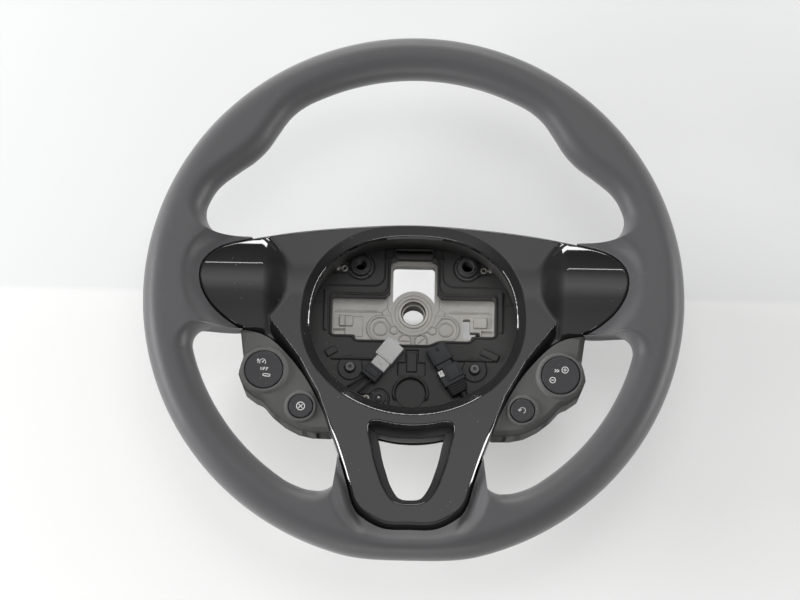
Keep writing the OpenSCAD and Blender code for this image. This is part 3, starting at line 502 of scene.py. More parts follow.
finishes = {
    "foam": {"color": (0.054, 0.053, 0.056), "roughness": 0.44, "drift": 0.10, "grain": (1500.0, 0.05, 0.6),
             "dust": (0.25, 0.05), "sheen": 0.3, "driftScale": 9.0},
    "pianoBlack": {"color": (0.008, 0.0075, 0.0075), "roughness": 0.06, "drift": 0.2, "roughnessDrift": 0.02,
                   "dust": (0.35, 0.02), "coat": 1.0, "coatRoughness": 0.02},
    "cast": {"color": (0.84, 0.82, 0.77), "roughness": 0.5, "drift": 0.22, "driftScale": 60.0, "metallic": 0.25,
             "grain": (700.0, 0.16, 0.25), "rubbed": (0.8, (0.72, 0.70, 0.66)), "dust": (0.3, 0.1), "valleyShade": 0.4},
    "turnedSteel": {"color": (0.62, 0.60, 0.56), "roughness": 0.34, "drift": 0.12, "metallic": 0.95,
                    "grain": (1800.0, 0.03, 0.1), "driftScale": 120.0},
    "wellPlastic": {"color": (0.048, 0.047, 0.046), "roughness": 0.42, "drift": 0.25, "driftScale": 30.0,
                    "grain": (1900.0, 0.05, 0.5), "dust": (0.6, 0.25), "rubbed": (0.4, (0.10, 0.10, 0.10))},
    "liner": {"color": (0.070, 0.070, 0.072), "roughness": 0.55, "grain": (1700.0, 0.05, 0.6), "dust": (0.3, 0.1)},
    "cover": {"color": (0.040, 0.040, 0.042), "roughness": 0.6, "grain": (1100.0, 0.09, 0.7), "dust": (0.3, 0.1)},
    "pod": {"color": (0.085, 0.085, 0.083), "roughness": 0.5, "grain": (2000.0, 0.03, 0.5), "dust": (0.4, 0.1),
            "rubbed": (0.3, (0.16, 0.16, 0.16))},
    "key": {"color": (0.026, 0.026, 0.028), "roughness": 0.38, "grain": (2400.0, 0.02, 0.5), "dust": (0.4, 0.1)},
    "print": {"color": (0.62, 0.62, 0.61), "roughness": 0.5, "drift": 0.05},
    "bush": {"color": (0.060, 0.061, 0.063), "roughness": 0.36, "grain": (1600.0, 0.03, 0.4), "dust": (0.4, 0.15),
             "rubbed": (0.6, (0.18, 0.18, 0.18))},
    "wire": {"color": (0.20, 0.20, 0.20), "roughness": 0.35, "metallic": 0.8, "grain": (2500.0, 0.02, 0.1)},
    "brass": {"color": (0.62, 0.60, 0.53), "roughness": 0.3, "metallic": 0.8, "grain": (2200.0, 0.03, 0.2),
              "drift": 0.3, "driftScale": 150.0},
    "whiteNylon": {"color": (0.93, 0.93, 0.92), "roughness": 0.45, "grain": (1500.0, 0.02, 0.3), "drift": 0.04},
    "blackNylon": {"color": (0.028, 0.030, 0.034), "roughness": 0.40, "grain": (1500.0, 0.03, 0.3), "dust": (0.5, 0.2),
                   "rubbed": (0.5, (0.11, 0.11, 0.115))},
    "leadRubber": {"color": (0.012, 0.012, 0.012), "roughness": 0.5, "grain": (2600.0, 0.02, 0.3), "dust": (0.4, 0.1)},
    "blackZinc": {"color": (0.07, 0.07, 0.073), "roughness": 0.35, "metallic": 0.7, "grain": (2000.0, 0.03, 0.2),
                  "rubbed": (0.8, (0.3, 0.3, 0.3))},
}
materials = {name: makeFinish(name, s) for name, s in finishes.items()}
print("materials ready")

placeCamera(cameraSettings)

leads = {
    "hornLeadA": {"node": "horn_lead_a", "diameter": 1.8, "stiffness": "limp",
                  "route": [(-49, -8, -59), (-49, -12, -59), (-49, -15.8, -59), (-48, -18.8, -59), (-46, -21.2, -58.4),
                            (-43, -22.4, -56.8), (-39.5, -22.5, -54.4), (-36, -21.5, -51.6), (-33.3, -20.5, -48.6)],
                  "riders": ("hornPlug",)},
    "hornLeadB": {"node": "horn_lead_b", "diameter": 1.8, "stiffness": "limp",
                  "route": [(-43, -8, -64.5), (-43, -12, -64.5), (-43, -15.8, -64.5), (-41.9, -18.8, -64.3),
                            (-39.8, -21.2, -63.3), (-36.8, -22.4, -61.2), (-33.8, -22.5, -58.4), (-31, -21.5, -55.2),
                            (-28.6, -20.5, -52.3)],
                  "riders": ("hornSleeve",)},
    "switchLead": {"node": "switch_lead", "diameter": 5.0, "stiffness": "medium",
                   "route": [(48.7, -26.4, -88.3), (48.1, -23.2, -84.5), (47, -20.8, -80.7), (45.4, -19.4, -77),
                             (43.5, -19.2, -73.5), (41.5, -19.2, -70), (39.6, -19.2, -66.5), (37.6, -19.2, -63),
                             (35.7, -19.2, -59.5)],
                   "riders": ("switchPlug", "switchBoot", "switchSocket", "socketSlot", "lockTab")},
}


# Each lead is a tube round a smooth line through the points of its route
def layLead(name, s):
    path = spline(s["route"], 6, closed=False)
    tube = addTube(Shape(), path, s["diameter"] / 2, 16)
    piece = makePiece(name, tube, materials["leadRubber"], (s["node"],))


# Plugs

plugs = {"horn": {"turn": 38.0, "centre": (-16.1, -31.4)}, "switch": {"turn": -29.0, "centre": (18.8, -33.1)},
         "front": -23.3, "back": -15.3}
# Each row is a block: x and z of two corners in the plug's own axes, front and back behind the plug's front
# (no back runs to the floor), and the radius of its corners
plugParts = {
    "hornPlug": ("horn", "whiteNylon", "white_plastic", ("horn_plug",), [
        (-6.9, -7.2, 6.9, 7.2, 0, None, 0.5), (-4.9, -14.6, 6.3, -7.0, 1.5, None, 0.5),
        (-2.6, 7.0, 2.6, 9, 0.8, None, 0.4), (-5.6, -5.9, 5.6, -5.2, -0.25, 0.2, 0.2),
        (-1.6, -11.5, 3.2, -8.2, 1.1, 1.7, 0.3), (-4.9, 5.8, -2.9, 7.6, 0.5, None, 0.3)]),
    "hornSleeve": ("horn", "blackNylon", "plug_plastic", ("horn_plug_sleeve",), [
        (-6.2, -24, 6.2, -14.6, 0.4, None, 0.5), (-4.9, -21.5, 4.9, -17, -0.3, 0.8, 0.6),
        (-5.6, -16.6, 5.6, -15.6, 0.1, 0.6, 0.3), (-5.6, -23.4, -3.4, -22.2, 0.1, 0.6, 0.3),
        (3.4, -23.4, 5.6, -22.2, 0.1, 0.6, 0.3)]),
    "switchSocket": ("switch", "blackNylon", "plug_plastic", ("switch_socket",), [
        (-7.2, -6.5, 7.2, 6.5, -1.0, None, 0.5), (-6.2, -10, 5, -6.4, 0.6, None, 0.4),
        (-6.6, -5.9, -5.4, 5.9, -1.3, -0.8, 0.3), (5.4, -5.9, 6.6, 5.9, -1.3, -0.8, 0.3)]),
    "socketSlot": ("switch", "leadRubber", "plug_plastic", (), [(-1.4, 1.6, 1.2, 4.8, -1.06, -0.7, 0.25)]),
    "switchPlug": ("switch", "blackNylon", "plug_plastic", ("switch_plug",), [
        (-3.6, -20.4, 8, -10, -0.4, None, 1.2), (-7.6, -23, 8, -16.0, 0.8, None, 0.5),
        (-7.6, -16.2, -3.4, -10.2, 2.4, None, 0.4), (-2.6, -19.2, -1.8, -11, -0.7, -0.2, 0.3),
        (6.0, -19.2, 6.8, -11, -0.7, -0.2, 0.3), (8.0, -21.5, 9.4, -17.5, 1.6, None, 0.4)]),
    "lockTab": ("switch", "whiteNylon", "white_plastic", ("plug_lock_tab",), [
        (-7.4, -15.6, -3.9, -11, 0.2, 2.2, 0.4), (-6.6, -12.6, -4.6, -11.6, -0.1, 0.4, 0.2)]),
}
bootOutline = [(-6, -31), (5, -31), (7, -27), (7, -23), (-6.5, -23), (-6.5, -27)]


# Points in a plug's own axes, turned and moved to its place
def turned(points, plug):
    a, (cx, cz) = math.radians(plug["turn"]), plug["centre"]
    x, z = np.asarray(points, float).T
    return np.stack([cx + x * math.cos(a) + z * math.sin(a), cz - x * math.sin(a) + z * math.cos(a)], -1)


def makePlug(name, plug, finish, slot, nodes, rows):
    shape = Shape()
    for x0, z0, x1, z1, front, back, r in rows:
        corners = roundCorners([(x0, z0), (x1, z0), (x1, z1), (x0, z1)], r, 2)
        rear = plugs["back"] if back is None else plugs["front"] + back
        addSlab(shape, turned(corners, plugs[plug]), plugs["front"] + front, rear, min(0.35, r))
    makePiece(name, shape, materials[finish], nodes)


# Rubber boot behind the switch plug, with three ribs that narrow backwards
def makeBoot():
    front = plugs["front"]
    shape = addSlab(Shape(), turned(roundCorners(bootOutline, 1.2, 3), plugs["switch"]), front + 1, plugs["back"], 0.9)
    for k in range(3):
        x0, x1, z0, z1 = -6.1 + k * 0.3, 6.7 - k * 0.5, -25.2 - k * 1.9, -24.3 - k * 1.9
        rib = roundCorners([(x0, z0), (x1, z0), (x1, z1), (x0, z1)], 0.3, 2)
        addSlab(shape, turned(rib, plugs["switch"]), front + 0.6, front + 1.6, 0.3)
    makePiece("switchBoot", shape, materials["leadRubber"], ("switch_boot",))


for name, parts in plugParts.items():
    makePlug(name, *parts)
makeBoot()
for name, s in leads.items():
    layLead(name, s)
print("plugs and leads laid")


# Rim foam

trimHalf = [(0, 50), (48, 47.3), (89, 42.3), (117.4, 36), (134, 29.7), (144.6, 18), (145.7, 3.5), (137, -12.3),
            (120, -24.8), (97, -33), (76, -54.5), (62, -78), (54.4, -96.6), (48, -114),
            (42.6, -131), (37.6, -147.7), (31, -155.5), (17.2, -162.4), (0, -163)]
trimEdge = spline(withLeft(trimHalf), 8)
loopHalf = [(0, -92.3), (12, -91.5), (23, -89.5), (27.8, -91), (28.4, -96), (26.5, -104), (24.4, -114), (21.4, -124),
            (18, -133), (12.6, -141.4), (7, -144.7), (0, -145.4)]
loopEdge = spline(withLeft(loopHalf), 6)
bag = {"a": 70.7, "b": 60.7, "z": -18.0}


# Distance from the airbag opening's centre to its edge: a superellipse, squarer above than below
def bagEdge(a, grow=0.0):
    n = np.where(np.sin(a) > 0, 2.35, 2.0)
    return (np.abs(np.cos(a) / (bag["a"] + grow)) ** n + np.abs(np.sin(a) / (bag["b"] + grow)) ** n) ** (-1 / n)


def bagOutline(grow, n=160):
    a = np.linspace(0, 2 * math.pi, n, endpoint=False)
    r = bagEdge(a, grow)
    return np.stack([r * np.cos(a), bag["z"] + r * np.sin(a)], -1)


ridgeZ = [-163, -147, -130, -113, -98, -85, -70, -57, -46, -33, -18, -3, 9, 60]
ridgeX = [30, 37.5, 42.5, 48, 54, 57.5, 62.5, 70, 76, 86, 98, 104, 106, 106]
trim = {"wingRound": 44.0, "wingCrest": 8.0, "wingHeight": 11.0, "bladeSlope": 1.1, "blend": 1.6}


# Front of the gloss trim: round wings beside a sloping face that falls away past its ridge
def trimFront(x, z):
    u = np.abs(x)
    across = (z - trim["wingCrest"]) ** 2 / (2 * trim["wingRound"])
    wing = -10 + trim["wingHeight"] * smoothStep((106 - u) / 24) + across
    fall = trim["bladeSlope"] * softMax(0 * u, u - np.interp(z, ridgeZ, ridgeX), 0.5)
    centre = 1 + np.where(z > 0, 0.02, 0.06) * z + fall
    return rimY + softMin(softMin(wing, centre, trim["blend"]), 6.5, 2)


rim = {"radius": 185.0, "width": 30.0, "depth": 15.26, "thumb": 10.3, "thumbAngle": 42.5, "thumbSpan": 17.5,
       "flat": 2.4, "around": 6, "quarter": 12, "flatSteps": 22, "gap": 0.45, "dipReach": 13.0, "dip": 0.85,
       "sink": 0.3, "frontSlope": 0.13, "backSlope": 0.26, "wallBack": -48}


def foamHalf():
    def thumb(a):
        u = (a - rim["thumbAngle"]) / rim["thumbSpan"]
        return rim["thumb"] * math.cos(math.radians(u * 90)) ** 2 if abs(u) < 1 else 0
    inner = rim["radius"] - rim["width"]
    rows = [(a, *polar(inner - thumb(a), a)) for a in range(90, 29, -5)]
    rows.append((26, *polar(inner, 26.5)))
    rows += [(23 - k * 1.3, *polar(17, 20 - k * 17, (127, 54))) for k in range(8)]
    rows += [(11, 116, 38.4), (8, 110, 37), (6, 107, 32), (4, 106, 18), (2, 106, 6), (0, 106, -8), (-2, 107, -20),
             (-4, 110, -25.5), (-6, 118, -26.5)]
    rows += [(-8 - k * 1.5, *polar(13.5, 95 - k * 18.5, (136, -38.5))) for k in range(7)]
    rows += [(a, *polar(inner, a)) for a in range(-20, -56, -5)]
    rows += [(-59, 80.3, -132.3), (-62, 70, -136.2)]
    rows += [(-64 - k * 1.2, *polar(13, -85 - k * 16, (61, -124.2))) for k in range(7)]
    rows += [(-72.5, 49, -113), (-73.5, 44.5, -110.5), (-74.5, 41.5, -113), (-76, 39.5, -128), (-79, 36, -144),
             (-83, 29, -151), (-86.5, 14, -152.5), (-90, 0, -152.5)]
    return np.array(rows, float)


# One section: a quarter round, a flat across the spoke, and the same behind. s is the distance inwards.
def foamSections(rows):
    a, p = rows[:, 0], rows[:, 1:]
    u = (a + 90) / 15
    out = rim["radius"] - np.where(np.abs(u) < 1, rim["flat"] * np.cos(np.radians(u * 90)) ** 2, 0)
    o = np.stack([out * np.cos(np.radians(a)), out * np.sin(np.radians(a))], -1)
    reach = np.linalg.norm(p - o, axis=1)
    e = (p - o) / reach[:, None]
    half = rim["width"] / 2
    grow = np.maximum(0, reach - rim["width"])
    shrink = np.minimum(1, reach / rim["width"])
    q = rim["quarter"]
    flat = rim["flatSteps"]
    f = np.concatenate([np.linspace(0, 90, q + 1), np.full(flat, 90), np.linspace(90, 180, q + 1)[1:],
                        np.linspace(180, 270, q + 1)[1:], np.full(flat, 270), np.linspace(270, 360, q + 1)[1:-1]])
    slide = np.concatenate([np.zeros(q + 1), np.linspace(0, 1, flat + 1)[1:], np.ones(2 * q),
                            np.linspace(1, 0, flat + 1)[1:], np.zeros(q - 1)])
    f = np.radians(f)[None]
    s = half - half * np.cos(f) + grow[:, None] * slide[None]
    past = np.maximum(0, s - rim["width"])
    lift = np.where(np.sin(f) > 0, rim["frontSlope"] * past * np.sin(f), -rim["backSlope"] * past * np.sin(f))
    wide = s * shrink[:, None]
    y = rimY - rim["depth"] * np.sin(f) + lift
    return np.stack([o[:, None, 0] + e[:, None, 0] * wide, y, o[:, None, 1] + e[:, None, 1] * wide], -1)


def makeFoam():
    rows = foamHalf()
    mirrored = lambda row, a: np.array([2 * a - row[0], -row[1], row[2]])
    q = np.vstack([mirrored(rows[1], 90), rows, mirrored(rows[-2], -90)])
    dense = curveSteps(q[:-3], q[1:-2], q[2:-1], q[3:], rim["around"])
    right = foamSections(np.vstack([dense, rows[-1]]))
    grid = np.concatenate([right, right[-2:0:-1] * [-1, 1, 1]])
    points = grid.reshape(-1, 3)
    quads = gridFaces(grid.shape[0], grid.shape[1], True, True)[:, ::-1]
    # faces under the trim go, and the points beside them slide onto its outline
    middle = points[quads].mean(1)
    under = (outlineDistance(middle[:, 0], middle[:, 2], trimEdge) < rim["gap"]) & (middle[:, 1] < -50)
    kept, gone = quads[~under], quads[under]
    n = len(points)
    keptEdges = np.stack([kept, np.roll(kept, -1, 1)], -1).reshape(-1, 2)
    goneEdges = np.stack([np.roll(gone, -1, 1), gone], -1).reshape(-1, 2)
    rimEdges = keptEdges[np.isin(keptEdges[:, 0] * n + keptEdges[:, 1], goneEdges[:, 0] * n + goneEdges[:, 1])]
    border = np.unique(rimEdges)
    bx, bz = points[border, 0], points[border, 2]
    near = (np.abs(outlineDistance(bx, bz, trimEdge)) < 4) & (points[border, 1] < -56)
    border, bx, bz = border[near], bx[near], bz[near]
    toTrim = lambda x, z: outlineDistance(x, z, trimEdge)
    for step in range(4):
        here = toTrim(bx, bz) - rim["gap"]
        dx, dz = slopes(toTrim, bx, bz, 0.1)
        size = np.maximum(dx * dx + dz * dz, 0.3)
        bx, bz = bx - here * dx / size, bz - here * dz / size
    points[border, 0], points[border, 2] = bx, bz
    # the front settles towards the trim where the two meet, with a small round at the very edge
    front = np.nonzero(points[:, 1] < rimY)[0]
    x, z = points[front, 0], points[front, 2]
    d = outlineDistance(x, z, trimEdge) - rim["gap"]
    share = smoothStep(1 - np.clip(d, 0, None) / rim["dipReach"])
    y = points[front, 1]
    y = y + np.maximum(0, trimFront(x, z) + rim["sink"] - y) * share * rim["dip"]
    points[front, 1] = y + 0.5 * smoothStep(1 - np.abs(d) / 1.2)
    marked = np.zeros(n, bool)
    marked[border] = True
    rimEdges = rimEdges[marked[rimEdges].all(1)]
    base = points.copy()
    base[:, 1] = rim["wallBack"]
    walls = np.stack([rimEdges[:, 1], rimEdges[:, 0], rimEdges[:, 0] + n, rimEdges[:, 1] + n], -1)
    faces = [kept, walls]
    used, back = np.unique(np.concatenate([f.ravel() for f in faces]), return_inverse=True)
    faces = [back[:kept.size].reshape(-1, 4), back[kept.size:].reshape(-1, 4)]
    shape = Shape().add(np.vstack([points, base])[used], faces)
    return makePiece("rimFoam", shape, materials["foam"], ("rim_grip",), closed=False, crease=50)


makeFoam()


# Gloss trim

edges = {"lip": 6.5, "lipDrop": 4.5, "loopRoll": 1.8, "sideBevel": 2.8, "footBevel": 5.0, "bevelSlope": 0.85,
         "edgeRoll": 1.2, "bead": 0.09, "beadWidth": 1.9}


# Quarter-round drop within r of an edge, w being the distance inside it
def roll(w, r):
    t = np.clip(r - w, 0, r)
    return r - np.sqrt(np.maximum(r * r - t * t, 0))


bagInner = bagOutline(0.0)
trimBox = (-150, -166, 150, 53)


def trimDistance(x, z):
    outer = outlineDistance(x, z, trimEdge)
    return np.maximum(outer, np.maximum(-outlineDistance(x, z, bagInner), -outlineDistance(x, z, loopEdge)))


# The face, less a bevel along the outer edge, a chamfer round the opening and a roll into the loop
def trimHeight(x, z):
    outer = -outlineDistance(x, z, trimEdge)
    hole = outlineDistance(x, z, bagInner)
    loop = outlineDistance(x, z, loopEdge)
    foot = smoothStep((-75 - z) / 30)
    tip = (edges["footBevel"] - edges["sideBevel"]) * smoothStep((-140 - z) / 15)
    bevel = edges["sideBevel"] * 0.6 + (edges["sideBevel"] * 0.4 + tip) * foot
    slope = edges["bevelSlope"] * (0.6 + 0.4 * foot)
    drop = slope * softMax(0 * outer, bevel - outer, 0.35) + roll(outer, edges["edgeRoll"])
    chamfer = edges["lipDrop"] / edges["lip"] * softMax(0 * hole, edges["lip"] - hole, 0.6) + roll(hole, 0.6)
    chamfer = chamfer + edges["bead"] * softMax(0 * hole, edges["beadWidth"] - hole, 0.1)
    return trimFront(x, z) + drop + chamfer + roll(loop, edges["loopRoll"])


def trimBack(x, z):
    return np.where(outlineDistance(x, z, loopEdge) < 1.5, -46.0, -48.0)


makePiece("glossTrim", addRelief(Shape(), trimDistance, trimHeight, trimBox, 0.54, trimBack),
          materials["pianoBlack"], ("wing_trim", "lower_spoke_trim"), closed=False, crease=180)


# Switch pods and their keys

pods = {"face": -60.0, "gap": 0.5, "shelf": 3.5,
        "big": {"x": 100.5, "z": -55.4, "r": 12.7, "rise": 3.0, "collar": 3.2, "front": -63.4, "dish": 0.45},
        "small": {"x": 74.8, "z": -80.0, "r": 7.9, "rise": 2.0, "collar": 2.8, "front": -62.6, "dish": 0.3}}
podOutline = roundCorners([(117.6, -27.2), (114.8, -47), (117.9, -57.9), (113.3, -68.8), (106, -74), (101.2, -75.8),
                           (94.8, -83.2), (86, -90.2), (76.8, -94.9), (67.3, -97), (50, -97.2), (40, -80), (60, -50),
                           (80, -20)], 2.5)


def podEdge(x, z):
    big = pods["big"]
    return np.minimum(outlineDistance(x, z, podOutline), discDistance(x, z, big["x"], big["z"], big["r"] + 3.5))


# Distance to the nearer key's circle, grown by some millimetres
def keyDistance(x, z, grow):
    return np.minimum(*(discDistance(x, z, k["x"], k["z"], k["r"] + grow) for k in (pods["big"], pods["small"])))


def podDistance(x, z):
    x = np.abs(x)
    outside = np.maximum(podEdge(x, z), 0.3 - outlineDistance(x, z, trimEdge))
    return np.maximum(outside, -keyDistance(x, z, pods["gap"]))


# Flat face, a sloping shelf along the outer edge, and a tapered collar round each key
def podHeight(x, z):
    x = np.abs(x)
    edge = -podEdge(x, z)
    y = pods["face"] + 0.85 * softMax(0 * edge, pods["shelf"] - edge, 0.5) + roll(edge, 0.7)
    for key in (pods["big"], pods["small"]):
        rise, width = key["rise"], key["collar"]
        out = discDistance(x, z, key["x"], key["z"], key["r"] + pods["gap"])
        collar = pods["face"] - rise + (rise + 0.2) * smoothStep((out - width * 0.45) / (width * 0.7)) + roll(out, 0.5)
        y = np.where(out < width * 1.2, np.minimum(y, collar), y)
    return y


# The key wells end sooner than the pod's outer walls
def podBack(x, z):
    return np.where(keyDistance(np.abs(x), z, 1) < 0, -54.0, -34.0)


def makePod(name, node, box):
    def behind(c):
        return (c[:, 1] > -56.5) & ((c[:, 1] > -34.5) | (podDistance(c[:, 0], c[:, 2]) > 0.2) | (c[:, 1] > -55.5))
    shape = addRelief(Shape(), podDistance, podHeight, box, 0.5, podBack)
    addNode(shape, node, behind)
    makePiece(name, shape, materials["pod"], (node,), closed=False, crease=30)


makePod("leftPod", "left_switch_housing", (-121, -99, -38, -24))
makePod("rightPod", "right_switch_housing", (38, -99, 121, -24))


# Profile of a key: dished face, rolled edge, straight skirt
def keyProfile(r, front, back, dish, rollRadius):
    t = np.linspace(0, 1, 9)
    face = np.stack([t * (r - rollRadius), front + dish * (1 - t ** 2)], -1)
    a = np.radians(np.linspace(15, 90, 6))
    edge = np.stack([r - rollRadius + rollRadius * np.sin(a), front + rollRadius * (1 - np.cos(a))], -1)
    return np.vstack([face, edge, [(r, back), (0, back)]])


def makeKey(name, node, side, key, body):
    profile = keyProfile(key["r"], key["front"], -57.3, key["dish"], 0.7)
    shape = addLathe(Shape(), profile, side * key["x"], key["z"], 96)
    makePiece(name, shape, materials["key"], (node,), body=body)


makeKey("modeKey", "mode_rocker", -1, pods["big"], "mode_key")
makeKey("setKey", "set_rocker", 1, pods["big"], "set_key")
makeKey("cancelKey", "cancel_button", -1, pods["small"], "cancel_key")
makeKey("resumeKey", "resume_button", 1, pods["small"], "resume_key")


# A print is drawn as strokes with round ends, each a thin plate on the key's face
def strokeOutline(x0, z0, x1, z1, width, n=6):
    turn = math.degrees(math.atan2(z1 - z0, x1 - x0))
    return np.vstack([polar(width / 2, turn + np.linspace(-90, 90, n), (x1, z1)),
                      polar(width / 2, turn + np.linspace(90, 270, n), (x0, z0))])


def addPrint(shape, centre, turn, strokes, rings, face, width=0.42):
    front, back = face - 0.06, face + 0.3
    c, s = math.cos(math.radians(turn)), math.sin(math.radians(turn))
    put = lambda x, z: (centre[0] + x * c - z * s, centre[1] + x * s + z * c)
    for x0, z0, x1, z1 in strokes:
        a, b = put(x0, z0), put(x1, z1)
        addSlab(shape, strokeOutline(*a, *b, width), front, back, 0.02, 0.02, 1)
    for x, z, r in rings:
        inner, outer = r - width / 2, r + width / 2
        profile = [(inner, back), (inner, front), (outer, front), (outer, back)]
        addLathe(shape, profile, *put(x, z), 40)
    return shape


letterO = [(-0.55, -0.55, -0.55, 0.55), (0.55, -0.55, 0.55, 0.55), (-0.3, 0.9, 0.3, 0.9), (-0.3, -0.9, 0.3, -0.9),
           (-0.55, 0.55, -0.3, 0.9), (0.55, 0.55, 0.3, 0.9), (-0.55, -0.55, -0.3, -0.9), (0.55, -0.55, 0.3, -0.9)]
letterF = [(-0.5, -0.9, -0.5, 0.9), (-0.5, 0.9, 0.6, 0.9), (-0.5, 0.1, 0.4, 0.1)]


def word(letters, pitch):
    start = -pitch * (len(letters) - 1) / 2
    return [(x0 + start + k * pitch, z0, x1 + start + k * pitch, z1)
            for k, letter in enumerate(letters) for x0, z0, x1, z1 in letter]


def arcStrokes(r, a0, a1, n, cx=0.0, cz=0.0):
    p = polar(r, np.linspace(a0, a1, n + 1), (cx, cz))
    return [(*p[k], *p[k + 1]) for k in range(n)]


def makePrints():
    left = Shape()
    pointers = [(0.3, -0.3, 1.5, 1.2), (-2.9, -1.2, -2.9, 1.6), (-3.5, 0.4, -2.9, 1.7), (-2.3, 0.4, -2.9, 1.7)]
    gauge = arcStrokes(2.1, -30, 210, 10, 0.3, -0.3) + pointers
    addPrint(left, (-101.6, -49.9), -4, gauge, [(0.3, -0.3, 0.3)], -63.22, 0.4)
    addPrint(left, (-100.2, -54.9), -4, word([letterO, letterF, letterF], 1.95), [], -63.0, 0.42)
    limit = [(-1.5, -0.7, 1.5, -0.7), (-1.5, 0.8, 1.5, 0.8), (-2.3, -0.7, -2.3, 0.8), (2.3, -0.7, 2.3, 0.8)]
    addPrint(left, (-98.5, -59.3), -4, limit, [], -63.06, 0.5)
    makePiece("modePrint", left, materials["print"], body="mode_key")
    right = Shape()
    addPrint(right, (103.4, -51.7), -3, [(-1.1, 0, 1.1, 0), (0, -1.1, 0, 1.1)], [(0, 0, 2.1)], -63.08, 0.45)
    arrows = [(-1.5, -0.9, -0.2, 0), (-1.5, 0.9, -0.2, 0), (0.2, -0.9, 1.5, 0), (0.2, 0.9, 1.5, 0)]
    addPrint(right, (97.9, -52.4), -3, arrows, [], -63.06, 0.45)
    addPrint(right, (95.0, -58.9), -3, [(-1.0, 0, 1.0, 0)], [(0, 0, 1.9)], -63.16, 0.45)
    makePiece("setPrint", right, materials["print"], body="set_key")
    diagonals = [(-1.3, -1.3, 1.3, 1.3), (-1.3, 1.3, 1.3, -1.3)]
    cross = addPrint(Shape(), (-74.8, -80.0), -4, diagonals, [(0, 0, 2.7)], -62.38, 0.5)
    makePiece("cancelPrint", cross, materials["print"], body="cancel_key")
    arrow = arcStrokes(2.0, -60, 200, 12) + [(-1.9, -0.7, -0.9, 0.4), (-1.9, -0.7, -2.9, 0.3)]
    resume = addPrint(Shape(), (74.8, -80.0), -4, arrow, [], -62.38, 0.5)
    makePiece("resumePrint", resume, materials["print"], body="resume_key")


makePrints()


# Cast hub

hub = {"face": -2.0, "boss": 13.1, "bossRing": 16.1, "windowX": 14.8, "windowTop": 34.8, "boltX": 23.2, "boltZ": -11.0,
       "clockX": 5.6, "clockZ": -19.6}
insert = {"bore": 8.3, "rim": 10.9, "face": -4.0, "splineLength": 9.0, "splineTip": 7.2, "splineDepth": 0.8,
          "teeth": 36}


def hubOutline(x, z):
    u = np.abs(x)
    plate = boxDistance(u, z, -58.7, -20, 58.7, 11.5, 3.5)
    d = softMin(plate, boxDistance(u, z, -18, -8, 18, 38.6, 5), 7)
    d = np.minimum(d, boxDistance(u, z, -14, 30, 14, 44.8, 1.5))
    d = softMin(d, boxDistance(u, z, -42, -23.5, 42, 0, 3), 2)
    lobe = np.hypot(np.maximum(u - 9, 0), z + 17) - 9.5
    return softMin(d, lobe, 4)


def hubWindow(x, z):
    window = boxDistance(x, z, -hub["windowX"], 2, hub["windowX"], hub["windowTop"], 2.6)
    return np.maximum(window, 16.4 - np.hypot(x, z))


def hubSlot(x, z):
    upright, foot = (35.2, -17.3, 40.3, -3.0, 0.8), (35.2, -17.3, 47.4, -12.4, 0.8)
    return np.minimum(boxDistance(x, z, *upright), boxDistance(x, z, *foot))


# Slit between the hub's window frame and the tab above it
def hubSlit(x, z):
    return boxDistance(x, z, -30, 38.8, 30, 41.2, 0.3)


def hubDistance(x, z):
    holes = np.minimum(np.minimum(hubWindow(x, z), hubSlot(x, z)), np.hypot(x, z) - insert["rim"])
    holes = np.minimum(holes, hubSlit(x, z))
    return np.maximum(hubOutline(x, z), -holes)


tent = roundCorners([(-23, 0.6), (-8.6, 13.2), (8.6, 13.2), (23, 0.6), (13, -13), (-13, -13)], 2)


